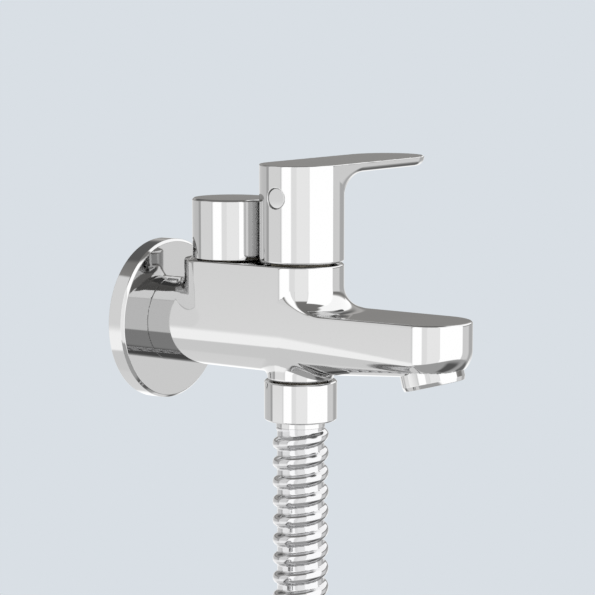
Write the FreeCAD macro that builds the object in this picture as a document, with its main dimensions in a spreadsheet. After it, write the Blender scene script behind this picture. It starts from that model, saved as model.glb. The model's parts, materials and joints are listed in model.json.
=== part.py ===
"""Two-way bib tap: wall flange, long body with a lever valve for the spout and a knob valve for the hose.

Units are millimetres. X runs out of the wall along the spout, Z is up, and the origin is the centre of
the wall flange's back face, on the inlet's axis. Every driving dimension is a cell of the sheet Sizes.
"""
import FreeCAD, Part
import math
import os
import re
import Sketcher

V = FreeCAD.Vector
doc = FreeCAD.newDocument("two_way_bib_tap")

# Driving dimensions
SIZES = {
    # Wall flange and inlet
    "flange_radius": 31.6,
    "flange_depth": 7.2,
    "flange_bevel": 1.0,
    "flange_wall": 1.6,
    "flange_play": 0.25,
    "inlet_radius": 10.48,
    "inlet_length": 14.0,
    "inlet_chamfer": 1.0,
    "inlet_shoulder": 0.5,
    "inlet_root_radius": 10.1,
    "inlet_bore_radius": 6.5,
    "inlet_bore_depth": 24.0,
    # Body
    "body_half_width": 16.7,
    "body_height": 25.8,
    "body_rear": 17.0,
    "column_place": 68.4,
    "column_fillet": 6.0,
    "knob_place": 36.3,
    "lever_place": 69.1,
    # Spout
    "spout_place": 70.4,
    "spout_height": 8.4,
    "spout_tip_place": 126.6,
    "spout_tip_radius": 15.2,
    "spout_rise": 5.55,
    "spout_tip_round": 6.2,
    "keel_half_angle": 42.0,
    "spout_bore_radius": 5.5,
    "spout_bore_height": 0.5,
    # Aerator, on an axis that leans forward
    "aerator_place": 128.3,
    "aerator_mouth": -15.5,
    "aerator_lean": 15.0,
    "aerator_radius": 11.7,
    "aerator_lip": 3.6,
    "aerator_mouth_radius": 8.7,
    "aerator_floor": 1.2,
    "aerator_hole_spacing": 3.4,
    "aerator_throat_radius": 8.0,
    "aerator_throat_length": 4.0,
    "aerator_gap": 0.1,
    "aerator_boss_radius": 12.0,
    "aerator_boss_length": 8.0,
    "aerator_socket_radius": 10.5,
    "aerator_thread_length": 4.4,
    "aerator_wall": 1.4,
    "aerator_washer_thick": 1.8,
    "aerator_washer_lap": 2.0,
    "aerator_hole_radius": 1.1,
    "thread_play": 0.08,
    # Valve chambers and waterways
    "chamber_thread_depth": 12.0,
    "chamber_radius": 9.5,
    "chamber_floor": 1.0,
    "port_radius": 3.8,
    "gallery_radius": 4.0,
    "gallery_offset": 4.2,
    "gallery_height": -4.2,
    "hose_way_radius": 2.5,
    "hose_way_offset": -7.5,
    "hose_way_shift": 3.0,
    "hose_drop_radius": 1.6,
    # Headworks, heights from the chamber floor or from the body's top
    "hexagon_across_flats": 22.0,
    "hexagon_height": 5.0,
    "barrel_radius": 7.0,
    "barrel_height": 7.0,
    "cage_radius": 7.9,
    "cage_wall": 1.3,
    "cage_lift": 0.8,
    "cage_ceiling": 11.3,
    "window_width": 7.0,
    "seal_thick": 2.6,
    "seal_hole_radius": 3.6,
    "disc_thick": 3.0,
    "disc_play": 0.1,
    "window_inset": 0.2,
    "disc_port_radius": 1.9,
    "disc_port_place": 3.7,
    "foot_thick": 2.4,
    "spindle_radius": 4.0,
    "spindle_play": 0.05,
    "spline_radius": 3.8,
    "ring_section": 0.7,
    "ring_play": 0.1,
    "ring_place": 8.0,
    "clip_thick": 0.8,
    "clip_radius": 5.6,
    "clip_gap": 0.3,
    "clip_play": 0.02,
    "groove_depth": 0.8,
    # Lever, heights from the body's top
    "lever_radius": 16.1,
    "lever_skirt": 0.8,
    "lever_top": 37.7,
    "lever_reach": 68.5,
    "lever_blade_thick": 3.8,
    "lever_rise": 0.7,
    "lever_root_fillet": 8.0,
    "lever_edge_round": 1.7,
    "lever_wall": 2.0,
    "lever_hollow_top": 18.2,
    "lever_open_turn": 87.0,
    "lever_bush_top": 31.2,
    "spindle_recess": 0.6,
    "lever_screw_height": 25.4,
    "lever_screw_radius": 2.5,
    "plug_radius": 3.9,
    "plug_depth": 2.4,
    "plug_chamfer": 0.3,
    # Knob, heights from the body's top
    "knob_radius": 15.5,
    "knob_skirt": 0.5,
    "knob_top": 23.5,
    "knob_chamfer": 0.7,
    "knob_wall": 1.8,
    "knob_hollow_top": 13.8,
    "knob_bush_top": 19.4,
    "knob_screw_height": 16.6,
    "knob_screw_radius": 2.0,
    "bush_radius": 7.0,
    "bush_play": 0.05,
    "screw_play": 0.05,
    "screw_recess": 1.6,
    "screw_socket_radius": 1.25,
    "screw_socket_depth": 2.5,
    # Hose outlet, nut and tails
    "outlet_place": 68.6,
    "boss_radius": 12.7,
    "boss_bottom": -18.5,
    "nipple_root_radius": 8.0,
    "nipple_root_depth": 8.0,
    "nipple_radius": 10.3,
    "nipple_bore_radius": 5.5,
    "nut_radius": 13.9,
    "nut_gap": 0.4,
    "nut_length": 15.2,
    "nut_shelf": 3.0,
    "nut_chamfer": 0.5,
    "nut_relief": 0.6,
    "swivel_play": 0.06,
    "tail_radius": 9.4,
    "tail_collar": 2.6,
    "tail_flange_radius": 10.1,
    "tail_flange_thick": 1.6,
    "tail_bore_radius": 5.0,
    "tail_barb_radius": 6.3,
    "tail_barb_length": 13.0,
    "washer_thick": 2.0,
    # Ribbed hose
    "hose_crest_radius": 10.75,
    "hose_valley_radius": 9.0,
    "hose_bore_radius": 6.5,
    "hose_pitch": 7.5,
    "hose_run_ribs": 24,
    "hose_coil_ribs": 99,
    "hose_bend_ribs": 7,
    "hose_end_ribs": 3,
    "hose_coil_radius": 112.0,
    "hose_bend_radius": 86.0,
    "hose_coil_step": 25.5,
    "hose_tie_width": 9.0,
    "hose_tie_thick": 1.2,
    "hose_tie_play": 0.25,
    "hose_tie_turn": 1.03,
    # How far a cutting tool runs past what it cuts
    "overcut": 1.0,
}

sheet = doc.addObject("Spreadsheet::Sheet", "Sizes")
for row, (alias, value) in enumerate(SIZES.items(), start=1):
    sheet.set(f"A{row}", alias.replace("_", " "))
    sheet.set(f"B{row}", str(value))
    sheet.setAlias(f"B{row}", alias)
doc.recompute()


def bound(text):
    """Sheet names in an expression, written the way an object's expression needs them."""
    return re.sub(r"[a-z]\w*(?!\w*\()", lambda word: "Sizes." + word.group(0), str(text))


def size(text):
    """Present value of an expression in sheet names."""
    return float(sheet.evalExpression(bound(text)))


def at(obj, x="0", y="0", z="0", turn=None):
    """Places an object by expressions, after an optional turn about an axis through its own origin."""
    if turn:
        obj.Placement = FreeCAD.Placement(V(), FreeCAD.Rotation(turn[0], size(turn[1])))
        obj.setExpression("Placement.Rotation.Angle", bound(turn[1]))
    for axis, text in zip("xyz", (x, y, z)):
        if text != "0":
            obj.setExpression(f"Placement.Base.{axis}", bound(text))
    return obj


ALONG_X = (V(0, 1, 0), "90")


def cylinder(name, radius, height, x="0", y="0", z="0", turn=None):
    """A round bar or bore tool."""
    obj = doc.addObject("Part::Cylinder", name)
    obj.setExpression("Radius", bound(radius))
    obj.setExpression("Height", bound(height))
    return at(obj, x, y, z, turn)


def box(name, length, width, height, x="0", y="0", z="0", turn=None):
    """A block, placed by its lowest corner."""
    obj = doc.addObject("Part::Box", name)
    obj.setExpression("Length", bound(length))
    obj.setExpression("Width", bound(width))
    obj.setExpression("Height", bound(height))
    return at(obj, x, y, z, turn)


def joined(name, *shapes):
    """Union of several shapes."""
    obj = doc.addObject("Part::MultiFuse", name)
    obj.Shapes = list(shapes)
    return obj


def cut(name, base, *tools):
    """A shape with one or several others taken out of it."""
    obj = doc.addObject("Part::Cut", name)
    obj.Base = base
    obj.Tool = tools[0] if len(tools) == 1 else joined(name + "_cuts", *tools)
    return obj


def shared(name, first, second):
    """What two shapes have in common."""
    obj = doc.addObject("Part::MultiCommon", name)
    obj.Shapes = [first, second]
    return obj


def rounded(name, base, radii):
    """Edge fillets: radii maps an edge number of the base to its two radii."""
    obj = doc.addObject("Part::Fillet", name)
    obj.Base = base
    obj.Edges = [(number, first, last) for number, (first, last) in sorted(radii.items())]
    return obj


def origin_plane(body, role):
    """One of a body's own origin planes."""
    return next(item for item in body.Origin.OriginFeatures if item.Role == role)


def sketch_on(body, role, name):
    """An empty sketch on one of a body's origin planes."""
    sketch = body.newObject("Sketcher::SketchObject", name)
    sketch.AttachmentSupport = [(origin_plane(body, role), "")]
    sketch.MapMode = "FlatFace"
    return sketch


def closed_outline(sketch, corners, bulges=None):
    """A closed outline through corners given as (across, up) expressions.

    bulges maps the number of a side to its (centre across, centre up, +1 or -1): that side is an arc,
    run anticlockwise for +1. Its ends are corners, so its centre is tied in one direction only.
    """
    bulges = bulges or {}
    spots = [V(size(across), size(up), 0) for across, up in corners]
    count = len(corners)
    for number in range(count):
        first, last = spots[number], spots[(number + 1) % count]
        if number not in bulges:
            sketch.addGeometry(Part.LineSegment(first, last))
            continue
        across, up, sense = bulges[number]
        middle = V(size(across), size(up), 0)
        start, stop = (first, last) if sense > 0 else (last, first)
        angles = [math.atan2(spot.y - middle.y, spot.x - middle.x) for spot in (start, stop)]
        circle = Part.Circle(middle, V(0, 0, 1), (start - middle).Length)
        sketch.addGeometry(Part.ArcOfCircle(circle, angles[0], angles[1]))
    for number, (across, up) in enumerate(corners):
        before = (number - 1) % count
        start_of = 2 if number in bulges and bulges[number][2] < 0 else 1
        end_of = 1 if before in bulges and bulges[before][2] < 0 else 2
        sketch.addConstraint(Sketcher.Constraint("Coincident", before, end_of, number, start_of))
        tie(sketch, "DistanceX", number, start_of, across)
        tie(sketch, "DistanceY", number, start_of, up)
    for number, (across, up, sense) in bulges.items():
        chord = spots[(number + 1) % count] - spots[number]
        if abs(chord.y) >= abs(chord.x):
            tie(sketch, "DistanceX", number, 3, across)
        else:
            tie(sketch, "DistanceY", number, 3, up)
    return sketch


def tie(sketch, kind, geometry, point, text):
    """Ties one coordinate of a sketch point to an expression."""
    index = sketch.addConstraint(Sketcher.Constraint(kind, -1, 1, geometry, point, size(text)))
    sketch.setExpression(f"Constraints[{index}]", bound(text))


def turned(name, outline, x="0", y="0", z="0", turn=None, bulges=None, sweep=360):
    """A piece turned about its own axis: outline lists (radius, height) pairs."""
    body = doc.addObject("PartDesign::Body", name)
    sketch = closed_outline(sketch_on(body, "XZ_Plane", name + "_outline"), outline, bulges)
    doc.recompute()
    spin = body.newObject("PartDesign::Revolution", name + "_turning")
    spin.Profile = sketch
    spin.ReferenceAxis = (sketch, ["V_Axis"])
    spin.Angle = sweep
    body.Tip = spin
    return at(body, x, y, z, turn)


def padded(name, role, outline, length, midplane=False, bulges=None, z="0"):
    """A flat outline on an origin plane, thickened square to it."""
    body = doc.addObject("PartDesign::Body", name)
    sketch = closed_outline(sketch_on(body, role, name + "_outline"), outline, bulges)
    doc.recompute()
    pad = body.newObject("PartDesign::Pad", name + "_pad")
    pad.Profile = sketch
    pad.Midplane = midplane
    pad.setExpression("Length", bound(length))
    body.Tip = pad
    return at(body, z=z)


def ring(name, inner, outer, thick, x="0", y="0", z="0", turn=None):
    """A flat ring with a square section."""
    return turned(name, [(inner, "0"), (outer, "0"), (outer, thick), (inner, thick)], x, y, z, turn)


def solid_named(name, shape):
    """A piece whose shape comes from the geometry below."""
    obj = doc.addObject("Part::Feature", name)
    obj.Shape = shape
    return obj


def edges_where(obj, test):
    """Numbers of the edges of an object that pass a test."""
    doc.recompute()
    return [number for number, edge in enumerate(obj.Shape.Edges, start=1) if test(edge)]


# Wall flange: a pressed cup with a bevelled front, open towards the wall
turned("wall_flange", [
    ("inlet_radius + flange_play", "flange_depth - flange_wall"),
    ("flange_radius - flange_wall - flange_bevel", "flange_depth - flange_wall"),
    ("flange_radius - flange_wall", "flange_depth - flange_wall - flange_bevel"),
    ("flange_radius - flange_wall", "0"),
    ("flange_radius", "0"),
    ("flange_radius", "flange_depth - flange_bevel"),
    ("flange_radius - flange_bevel", "flange_depth"),
    ("inlet_radius + flange_play", "flange_depth"),
], turn=ALONG_X)

# Body casting: round belly and neck on the inlet's axis, with an upright block whose ends are round
belly = cylinder("belly", "body_half_width", "spout_place - flange_depth", x="flange_depth", turn=ALONG_X)
block_rear = cylinder("block_rear", "body_half_width", "body_height", x="body_rear + body_half_width")
block_front = cylinder("block_front", "body_half_width", "body_height", x="column_place")
block_middle = box("block_middle", "column_place - body_rear - body_half_width", "2 * body_half_width",
                   "body_height", x="body_rear + body_half_width", y="-body_half_width")
block_foot = box("block_foot", "spout_place - body_rear - body_half_width", "2 * body_half_width",
                 "spout_height", x="body_rear + body_half_width", y="-body_half_width")

# Spout: its section starts as the belly's half circle and flattens towards the tip
SECTION_TURN = (V(1, 1, 1), "120")
KEEL = "body_half_width * sin(keel_half_angle)"
KEEL_LOW = "-body_half_width * cos(keel_half_angle)"
TIP_SOLE = "(tan(spout_rise) * (spout_tip_place - spout_place) - body_half_width)"


def section(name, outline, bulges, place):
    """A flat section square to the body's length."""
    sketch = doc.addObject("Sketcher::SketchObject", name)
    return at(closed_outline(sketch, outline, bulges), x=place, turn=SECTION_TURN)


root_section = section("spout_root_section", [
    ("-body_half_width", "spout_height"),
    ("-body_half_width", "0"),
    ("-(" + KEEL + ")", KEEL_LOW),
    (KEEL, KEEL_LOW),
    ("body_half_width", "0"),
    ("body_half_width", "spout_height"),
], {1: ("0", "0", 1), 2: ("0", "0", 1), 3: ("0", "0", 1)}, "spout_place")
tip_section = section("spout_tip_section", [
    ("-spout_tip_radius", "spout_height"),
    ("-spout_tip_radius", TIP_SOLE + " + spout_tip_round"),
    ("spout_tip_round - spout_tip_radius", TIP_SOLE),
    ("spout_tip_radius - spout_tip_round", TIP_SOLE),
    ("spout_tip_radius", TIP_SOLE + " + spout_tip_round"),
    ("spout_tip_radius", "spout_height"),
], {1: ("spout_tip_round - spout_tip_radius", TIP_SOLE + " + spout_tip_round", 1),
    3: ("spout_tip_radius - spout_tip_round", TIP_SOLE + " + spout_tip_round", 1)}, "spout_tip_place")
spout = doc.addObject("Part::Loft", "spout_length")
spout.Sections = [root_section, tip_section]
spout.Solid = True
spout.Ruled = True
spout_tip = turned("spout_tip", [
    ("0", TIP_SOLE),
    ("spout_tip_radius - spout_tip_round", TIP_SOLE),
    ("spout_tip_radius", TIP_SOLE + " + spout_tip_round"),
    ("spout_tip_radius", "spout_height"),
    ("0", "spout_height"),
], x="spout_tip_place", turn=(V(0, 0, 1), "-90"),
    bulges={1: ("spout_tip_radius - spout_tip_round", TIP_SOLE + " + spout_tip_round", 1)}, sweep=180)

# Column root: a hollow fillet turned about the column, trimmed to the spout's plan
spout_plan = padded("spout_plan", "XY_Plane", [
    ("column_place - body_half_width / 2", "-body_half_width"),
    ("spout_place", "-body_half_width"),
    ("spout_tip_place", "-spout_tip_radius"),
    ("spout_tip_place", "spout_tip_radius"),
    ("spout_place", "body_half_width"),
    ("column_place - body_half_width / 2", "body_half_width"),
], "spout_height + column_fillet")
ROOT_OUT = "body_half_width + column_fillet"
ROOT_TOP = "spout_height + column_fillet"
column_root = shared("column_root", turned("column_root_ring", [
    ("0", "spout_height / 2"),
    (ROOT_OUT, "spout_height / 2"),
    (ROOT_OUT, "spout_height"),
    ("body_half_width", ROOT_TOP),
    ("0", ROOT_TOP),
], x="column_place", bulges={2: (ROOT_OUT, ROOT_TOP, -1)}), spout_plan)

# Bosses under the body for the hose and, on its leaning axis, for the aerator, and the inlet's spigot
hose_boss = cylinder("hose_boss", "boss_radius", "-boss_bottom - body_half_width / 2",
                     x="outlet_place", z="boss_bottom")
LEAN = (V(0, -1, 0), "aerator_lean")


def on_aerator_axis(along):
    """Place on the aerator's axis at a height above its mouth."""
    return {
        "x": "aerator_place - sin(aerator_lean) * (" + along + ")",
        "z": "aerator_mouth + cos(aerator_lean) * (" + along + ")",
        "turn": LEAN,
    }


AERATOR_SEAT = "aerator_lip + aerator_gap"
aerator_boss = cylinder("aerator_boss", "aerator_boss_radius", "aerator_boss_length",
                        **on_aerator_axis(AERATOR_SEAT))
spigot = turned("spigot", [
    ("0", "-inlet_length"),
    ("inlet_radius - inlet_chamfer", "-inlet_length"),
    ("inlet_radius", "inlet_chamfer - inlet_length"),
    ("inlet_radius", "inlet_shoulder"),
    ("inlet_root_radius", "inlet_shoulder"),
    ("inlet_root_radius", "flange_depth + overcut"),
    ("0", "flange_depth + overcut"),
], turn=ALONG_X)

# Waterways, drilled as in the casting
CHAMBER_DEEP = "body_height - chamber_floor"


def chamber(name, place):
    """A valve chamber: a threaded mouth, the chamber and the port in its floor."""
    return [
        cylinder(name + "_thread", "inlet_radius", "chamber_thread_depth + overcut",
                 x=place, z="body_height - chamber_thread_depth"),
        cylinder(name + "_chamber", "chamber_radius", CHAMBER_DEEP + " - chamber_thread_depth + overcut",
                 x=place, z="chamber_floor"),
        cylinder(name + "_port", "port_radius", "chamber_floor + overcut - gallery_height",
                 x=place, z="gallery_height"),
    ]


AERATOR_SOCKET = "aerator_thread_length + aerator_washer_thick + aerator_gap"
NIPPLE_ROOF = "boss_bottom + nipple_root_depth"
waterways = [
    cylinder("inlet_bore", "inlet_bore_radius", "inlet_length + inlet_bore_depth + overcut",
             x="-inlet_length - overcut", turn=ALONG_X),
    cylinder("gallery", "gallery_radius", "lever_place - inlet_bore_depth + gallery_radius",
             x="inlet_bore_depth - gallery_radius", y="gallery_offset", z="gallery_height", turn=ALONG_X),
    cylinder("hose_way", "hose_way_radius", "outlet_place - knob_place + 2 * hose_way_radius",
             x="knob_place - hose_way_radius", y="hose_way_offset", z="gallery_height", turn=ALONG_X),
    cylinder("hose_way_inlet", "hose_drop_radius", "chamber_floor + overcut - gallery_height",
             x="knob_place", y="hose_way_offset", z="gallery_height"),
    cylinder("hose_way_outlet", "hose_way_radius", "gallery_height - (" + NIPPLE_ROOF + ") + overcut",
             x="outlet_place", y="hose_way_offset + hose_way_shift", z=NIPPLE_ROOF + " - overcut"),
    cylinder("nipple_socket", "nipple_root_radius + thread_play", "nipple_root_depth + overcut",
             x="outlet_place", z="boss_bottom - overcut"),
    cylinder("spout_bore", "spout_bore_radius", "spout_tip_place - lever_place - chamber_radius + overcut",
             x="lever_place + chamber_radius - overcut", z="spout_bore_height", turn=ALONG_X),
    cylinder("aerator_recess", "aerator_boss_radius", AERATOR_SEAT + " + overcut", **on_aerator_axis("-1")),
    cylinder("aerator_socket", "aerator_socket_radius + thread_play", AERATOR_SOCKET + " + overcut",
             **on_aerator_axis(AERATOR_SEAT + " - overcut")),
    cylinder("aerator_throat", "aerator_throat_radius", "aerator_throat_length + overcut",
             **on_aerator_axis(AERATOR_SEAT + " + " + AERATOR_SOCKET + " - overcut")),
    *chamber("knob", "knob_place"),
    *chamber("lever", "lever_place"),
]
casting_blank = joined("casting_blank", belly, block_rear, block_middle, block_front, block_foot, spout,
                       spout_tip, column_root, hose_boss, aerator_boss, spigot)
cut("body_casting", casting_blank, *waterways)


def headwork(valve, place, spindle_top):
    """A quarter-turn valve in its chamber: body, spindle, two ceramic discs, seal, O-ring and clip."""
    # The bush that is threaded into the casting, with its hexagon, barrel and cage
    cage_bottom = "chamber_floor + cage_lift"
    seat = "chamber_floor + seal_thick"
    disc_roof = "(" + seat + " + 2 * disc_thick)"
    barrel_top = "body_height + hexagon_height + barrel_height"
    shell = turned(valve + "_headwork_turning", [
        ("spindle_radius + spindle_play", "chamber_floor + cage_ceiling"),
        ("cage_radius - cage_wall", "chamber_floor + cage_ceiling"),
        ("cage_radius - cage_wall", cage_bottom),
        ("cage_radius", cage_bottom),
        ("cage_radius", "body_height - chamber_thread_depth"),
        ("inlet_radius - thread_play", "body_height - chamber_thread_depth"),
        ("inlet_radius - thread_play", "body_height"),
        ("barrel_radius", "body_height"),
        ("barrel_radius", barrel_top),
        ("spindle_radius + spindle_play", barrel_top),
    ], x=place)
    prism = doc.addObject("Part::Prism", valve + "_hexagon")
    prism.Polygon = 6
    prism.setExpression("Circumradius", bound("hexagon_across_flats / 2 / cos(30)"))
    prism.setExpression("Height", bound("hexagon_height"))
    at(prism, x=place, z="body_height")
    bore = cylinder(valve + "_hexagon_bore", "spindle_radius + spindle_play", "hexagon_height",
                    x=place, z="body_height")
    window = box(valve + "_windows", "window_width", "2 * cage_radius + 2 * overcut",
                 "cage_ceiling - seal_thick - disc_thick - 2 * window_inset",
                 x=place + " - window_width / 2", y="-cage_radius - overcut",
                 z=seat + " + disc_thick + window_inset")
    cut(valve + "_headwork", joined(valve + "_headwork_blank", shell,
                                    cut(valve + "_hexagon_ring", prism, bore)), window)
    # The seal and the fixed disc below, the turning disc and the spindle's foot above
    inside = "cage_radius - cage_wall - disc_play"
    ring(valve + "_seat_seal", "seal_hole_radius", inside, "seal_thick", x=place, z="chamber_floor")
    for name, level in (("fixed", seat), ("turning", seat + " + disc_thick")):
        plate = cylinder(f"{valve}_{name}_plate", inside, "disc_thick", x=place, z=level)
        ports = [
            cylinder(f"{valve}_{name}_port_{side}", "disc_port_radius", "disc_thick + 2 * overcut",
                     x=place + sign + "disc_port_place", z=level + " - overcut")
            for side, sign in (("front", " + "), ("rear", " - "))
        ]
        cut(f"{valve}_{name}_disc", plate, *ports)
    groove_top = barrel_top + " + clip_gap + clip_thick"
    ring_height = "(body_height - ring_place)"
    groove = "spindle_radius - 2 * ring_section - ring_play"
    turned(valve + "_spindle", [
        ("0", disc_roof),
        (inside, disc_roof),
        (inside, disc_roof + " + foot_thick"),
        ("spindle_radius", disc_roof + " + foot_thick"),
        ("spindle_radius", ring_height + " - ring_section - ring_play"),
        (groove, ring_height + " - ring_section - ring_play"),
        (groove, ring_height + " + ring_section + ring_play"),
        ("spindle_radius", ring_height + " + ring_section + ring_play"),
        ("spindle_radius", barrel_top + " + clip_gap"),
        ("spindle_radius - groove_depth", barrel_top + " + clip_gap"),
        ("spindle_radius - groove_depth", groove_top),
        ("spline_radius", groove_top),
        ("spline_radius", spindle_top),
        ("0", spindle_top),
    ], x=place)
    o_ring = doc.addObject("Part::Torus", valve + "_spindle_ring")
    o_ring.setExpression("Radius1", bound("spindle_radius - ring_section"))
    o_ring.setExpression("Radius2", bound("ring_section"))
    at(o_ring, x=place, z=ring_height)
    clip = ring(valve + "_clip_ring", "spindle_radius - groove_depth + clip_play", "clip_radius",
                "clip_thick", x=place, z=barrel_top + " + clip_gap")
    opening = box(valve + "_clip_opening", "clip_radius + overcut", "spindle_radius", "clip_thick + 2 * overcut",
                  x=place, y="-spindle_radius / 2", z=barrel_top + " + clip_gap - overcut")
    cut(valve + "_circlip", clip, opening)


headwork("lever", "lever_place", "body_height + lever_bush_top - spindle_recess")
headwork("knob", "knob_place", "body_height + knob_bush_top - spindle_recess")


TO_REAR = (V(0, -1, 0), "90")


def grub_screw(name, radius, inner, outer, height):
    """A headless screw that runs to the rear from a shaft, with a hexagon socket in its outer end."""
    shank = cylinder(name + "_shank", radius, "(" + outer + ") - (" + inner + ")",
                     x="-(" + inner + ")", z=height, turn=TO_REAR)
    socket = doc.addObject("Part::Prism", name + "_socket")
    socket.Polygon = 6
    socket.setExpression("Circumradius", bound("screw_socket_radius"))
    socket.setExpression("Height", bound("screw_socket_depth + overcut"))
    at(socket, x="screw_socket_depth - (" + outer + ")", z=height, turn=TO_REAR)
    return cut(name, shank, socket)


def bush(name, bottom, top, screw_radius, screw_height):
    """The splined bush between a spindle and its handle, cross-drilled for the screw."""
    sleeve = turned(name + "_sleeve", [
        ("spline_radius + bush_play", bottom),
        ("bush_radius", bottom),
        ("bush_radius", top),
        ("spline_radius + bush_play", top),
    ])
    drill = cylinder(name + "_drilling", screw_radius + " + screw_play", "bush_radius + overcut",
                     z=screw_height, turn=TO_REAR)
    return cut(name, sleeve, drill)


# Lever, modelled closed, pointing along the spout, with its axis and the body's top at the origin
BLADE_BOTTOM = "lever_top - lever_blade_thick"
BLADE_LENGTH = "(lever_reach + overcut)"
blade_plan = padded("blade_plan", "XY_Plane", [
    ("0", "-lever_radius"),
    ("lever_reach - lever_radius", "-lever_radius"),
    ("lever_reach - lever_radius", "lever_radius"),
    ("0", "lever_radius"),
], "lever_root_fillet + 2 * lever_blade_thick + overcut",
    bulges={1: ("lever_reach - lever_radius", "0", 1), 3: ("0", "0", 1)},
    z="lever_top - lever_root_fillet - lever_blade_thick - overcut")
blade_side = padded("blade_side", "XZ_Plane", [
    ("-lever_radius - overcut", BLADE_BOTTOM + " - tan(lever_rise) * (lever_radius + overcut)"),
    (BLADE_LENGTH, BLADE_BOTTOM + " + tan(lever_rise) * " + BLADE_LENGTH),
    (BLADE_LENGTH, "lever_top + tan(lever_rise) * " + BLADE_LENGTH),
    ("-lever_radius - overcut", "lever_top - tan(lever_rise) * (lever_radius + overcut)"),
], "2 * lever_radius + 2 * overcut", midplane=True)
blade_blank = shared("blade_blank", blade_plan, blade_side)


def is_under_blade(edge):
    """An edge of the blade's underside."""
    return edge.BoundBox.ZMax < size("lever_top - lever_blade_thick / 2")


blade = rounded("blade", blade_blank, {
    number: (size("lever_edge_round"), size("lever_edge_round"))
    for number in edges_where(blade_blank, is_under_blade)})
hub = cylinder("hub", "lever_radius", "lever_top - lever_blade_thick / 2 - lever_skirt", z="lever_skirt")
FILLET_OUT = "lever_radius + lever_root_fillet"
FILLET_TOP = "(" + BLADE_BOTTOM + " + tan(lever_rise) * (" + FILLET_OUT + "))"
blade_root = shared("blade_root", turned("blade_root_ring", [
    ("0", FILLET_TOP + " - lever_root_fillet"),
    ("lever_radius", FILLET_TOP + " - lever_root_fillet"),
    (FILLET_OUT, FILLET_TOP),
    (FILLET_OUT, FILLET_TOP + " + lever_blade_thick / 2"),
    ("0", FILLET_TOP + " + lever_blade_thick / 2"),
], bulges={1: (FILLET_OUT, FILLET_TOP + " - lever_root_fillet", -1)}), blade_plan)

LEVER_TURN = (V(0, 0, 1), "lever_open_turn")
lever = cut("lever_handle", joined("lever_blank", hub, blade, blade_root),
            cylinder("lever_hollow", "lever_radius - lever_wall", "lever_hollow_top - lever_skirt + overcut",
                     z="lever_skirt - overcut"),
            cylinder("lever_bush_socket", "bush_radius + bush_play", "lever_bush_top - lever_hollow_top + overcut",
                     z="lever_hollow_top - overcut"),
            cylinder("lever_screw_hole", "lever_screw_radius + screw_play", "lever_radius + overcut",
                     z="lever_screw_height", turn=TO_REAR),
            cylinder("plug_recess", "plug_radius + bush_play", "plug_depth + overcut",
                     x="plug_depth - lever_radius", z="lever_screw_height", turn=TO_REAR))
plug_blank = cylinder("plug_blank", "plug_radius", "plug_depth - screw_play",
                      x="plug_depth - lever_radius", z="lever_screw_height", turn=TO_REAR)


def is_outer_rim(edge):
    """The plug's edge that shows on the lever."""
    return edge.BoundBox.XMax < size("plug_depth / 2 - lever_radius")


plug = doc.addObject("Part::Chamfer", "lever_index_plug")
plug.Base = plug_blank
plug.Edges = [(number, size("plug_chamfer"), size("plug_chamfer"))
              for number in edges_where(plug_blank, is_outer_rim)]
lever_parts = [
    lever,
    plug,
    bush("lever_bush", "lever_hollow_top", "lever_bush_top", "lever_screw_radius", "lever_screw_height"),
    grub_screw("lever_grub_screw", "lever_screw_radius", "spline_radius + bush_play",
               "lever_radius - plug_depth - screw_play", "lever_screw_height"),
]
for piece in lever_parts:
    at(piece, x="lever_place", z="body_height", turn=LEVER_TURN)

# Knob, closed, with its screw on the side of the wall
knob_shell = turned("knob_turning", [
    ("knob_radius - knob_wall", "knob_skirt"),
    ("knob_radius", "knob_skirt"),
    ("knob_radius", "knob_top - knob_chamfer"),
    ("knob_radius - knob_chamfer", "knob_top"),
    ("0", "knob_top"),
    ("0", "knob_bush_top"),
    ("bush_radius + bush_play", "knob_bush_top"),
    ("bush_radius + bush_play", "knob_hollow_top"),
    ("knob_radius - knob_wall", "knob_hollow_top"),
])
knob_parts = [
    cut("knob", knob_shell, cylinder("knob_screw_hole", "knob_screw_radius + screw_play", "knob_radius + overcut",
                                     z="knob_screw_height", turn=TO_REAR)),
    bush("knob_bush", "knob_hollow_top", "knob_bush_top", "knob_screw_radius", "knob_screw_height"),
    grub_screw("knob_grub_screw", "knob_screw_radius", "spline_radius + bush_play",
               "knob_radius - screw_recess", "knob_screw_height"),
]
for piece in knob_parts:
    at(piece, x="knob_place", z="body_height")

# Aerator: a threaded ring with its straightener and washer, on the leaning axis
AERATOR_BORE = "(aerator_socket_radius - aerator_wall)"
AERATOR_TOP = "(aerator_lip + aerator_thread_length)"
turned("aerator_housing", [
    ("aerator_mouth_radius", "0"),
    ("aerator_radius", "0"),
    ("aerator_radius", "aerator_lip"),
    ("aerator_socket_radius", "aerator_lip"),
    ("aerator_socket_radius", AERATOR_TOP),
    (AERATOR_BORE, AERATOR_TOP),
    (AERATOR_BORE, "aerator_floor"),
    ("aerator_mouth_radius", "aerator_floor"),
], **on_aerator_axis("0"))
ring("aerator_washer", "aerator_mouth_radius - aerator_washer_lap", "aerator_socket_radius", "aerator_washer_thick",
     **on_aerator_axis(AERATOR_TOP))
straightener = doc.addObject("PartDesign::Body", "aerator_insert")
disc_sketch = sketch_on(straightener, "XY_Plane", "insert_disc")
disc_sketch.addGeometry(Part.Circle(V(), V(0, 0, 1), size(AERATOR_BORE + " - disc_play")))
disc_sketch.addConstraint(Sketcher.Constraint("Coincident", 0, 3, -1, 1))
disc_sketch.addConstraint(Sketcher.Constraint("Radius", 0, size(AERATOR_BORE + " - disc_play")))
disc_sketch.setExpression("Constraints[1]", bound(AERATOR_BORE + " - disc_play"))
doc.recompute()
disc_pad = straightener.newObject("PartDesign::Pad", "insert_pad")
disc_pad.Profile = disc_sketch
disc_pad.setExpression("Length", bound(AERATOR_TOP + " - aerator_floor"))
doc.recompute()
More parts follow.
